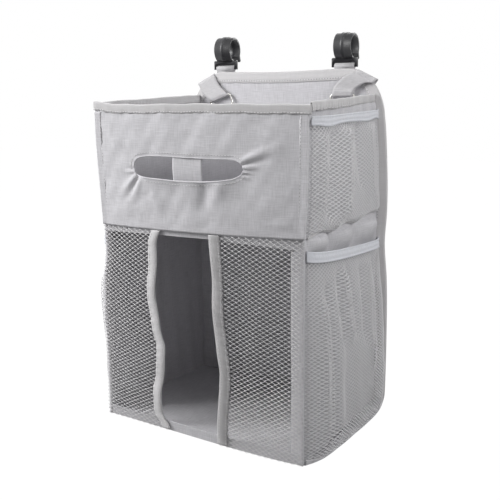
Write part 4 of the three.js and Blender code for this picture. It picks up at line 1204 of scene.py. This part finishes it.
def throughPoints(points, each):
    points = np.asarray(points, float)  # smooth open line that passes through every point
    ends = np.concatenate([[2 * points[0] - points[1]], points, [2 * points[-1] - points[-2]]])
    made = [splinePoint(*ends[i:i + 4], t) for i in range(len(points) - 1) for t in np.linspace(0, 1, each, endpoint=False)]
    return np.array(made + [points[-1]])


def strapStations(side):
    # from behind the panel over its top edge, down past the bends and round the ring's bar
    form = hardware[side]
    lean, tilt, ringTilt = (math.radians(a) for a in (form["lean"], hardware["tilt"], form["ringTilt"]))
    outward = np.array([math.sin(lean), 0, math.cos(lean)])
    along = np.array([math.cos(tilt), 0, -math.sin(tilt)])
    sideways = np.array([math.cos(ringTilt), 0, -math.sin(ringTilt)])
    radius, middle, standoff = body["panelTopRadius"], body["panelThick"] / 2, hardware["standoff"]
    edge = np.array([body["panelHalf"] - radius, middle, body["panelTop"] - radius]) + outward * radius
    points = [edge - outward * hardware["behind"] + [0, middle + 2 * standoff, 0]]
    turn = math.hypot(hardware["inset"], middle) + standoff
    for angle in np.linspace(0, math.pi, 7):
        p = edge + outward * (turn * math.sin(angle) - hardware["inset"])
        points.append(np.array([p[0], middle + turn * math.cos(angle), p[2]]))
    across = [along] * len(points)
    points = list(panelShape(np.array(points) * [side, 1, 1]) * [side, 1, 1])
    for k, place in enumerate(form["bend"]):
        points.append(np.array(place))
        share = (k + 1) / (len(form["bend"]) + 1)
        across.append(along * (1 - share) + sideways * share)
    loop = hardware["wire"] + 0.3 + hardware["strapThick"] / 2
    bar = np.array([abs(form["ring"]), hardware["ringPlane"], form["ringTop"]])
    away = unit((form["bend"][-1] - bar) * [1, 0, 1])
    points.append(bar + away * 2 * loop + [0, -loop - 0.3, 0])
    for angle in np.linspace(math.pi, 2 * math.pi, 5):
        points.append(bar + np.array([0, loop * math.cos(angle), 0]) + away * loop * math.sin(angle))
    points.append(bar + away * hardware["tail"] + [0, loop, 0])
    across += [sideways] * 7
    return np.array(points) * [side, 1, 1], unit(np.array(across)) * [side, 1, 1]


def buildStrap(name, side):
    line, wide = (throughPoints(stations, 7) for stations in strapStations(side))
    reach = (np.linspace(-0.5, 0.5, 9) * hardware["strapWide"])[None, :]
    grid = line[:, None] + unit(wide)[:, None] * reach[..., None]
    run = runAlong(line)
    flat = stacked(run[:, None], reach)
    made = clothGrid(name + "StrapWeb", grid, flat, hardware["strapThick"], webbing, name + "_strap")


def buildRing(name, side):
    form, r, count = hardware[side], hardware["ringCorner"], 90
    line = roundedLine(hardware["ringHalf"], hardware["ringLow"], form["ringTop"], r, r, count)[0]
    tilt = side * math.radians(-form["ringTilt"])
    turned = np.array([[math.cos(tilt), -math.sin(tilt)], [math.sin(tilt), math.cos(tilt)]])
    flat = (line[:, :2] - [0, form["ringTop"]]) @ turned.T + [form["ring"], form["ringTop"]]
    facing = line[:, 2:] @ turned.T
    path = (stacked(flat[:, 0], hardware["ringPlane"], flat[:, 1]), stacked(facing[:, 0], 0.0, facing[:, 1]),
            same((0, 1, 0), count))
    wire = roundProfile(hardware["wire"], hardware["wire"], 14)
    tapeAlong(name + "RingWire", path, wire, nickelWire, name + "_strap_ring", loop=True)


for name, side in bothSides:
    hook, tab, shift = name + "_hook", hardware["tabRound"], hardware[side]["tabShift"]
    roundedCopy(hook, name + "HookBody", hookPlastic, hardware["hookRound"], segments=3, rideOn=hook)
    roundedCopy(hook + "_tab", name + "HookTab", webbing, tab, segments=2)
    roundedCopy(name + "_ring_tab", name + "RingTab", webbing, tab, segments=2, shift=shift)
    buildStrap(name, side)
    buildRing(name, side)
print("hooks, rings and straps done")


def hangingBoard(node, name):
    # the board's own form, bent as the box hangs
    made, work = copyNode(node, name, stiffBoard)
    bmesh.ops.subdivide_edges(work, edges=work.edges, cuts=7, use_grid_fill=True)
    mesh = made.data
    work.to_mesh(mesh)
    work.free()
    bent = (settle(meshPoints(mesh) * 1000 + railPoint) - railPoint) / 1000
    mesh.vertices.foreach_set("co", bent.astype(np.float32).ravel())
    mesh.update()
    enlist(made, "organizer", node)


hangingBoard("floor_board", "floorBoard")
hangingBoard("shelf_board", "shelfBoard")
for node in ("back_board", "divider_board"):
    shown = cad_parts[node]
    shown.data.materials.clear()
    shown.data.materials.append(stiffBoard)
print("boards done")

bpy.context.view_layer.update()
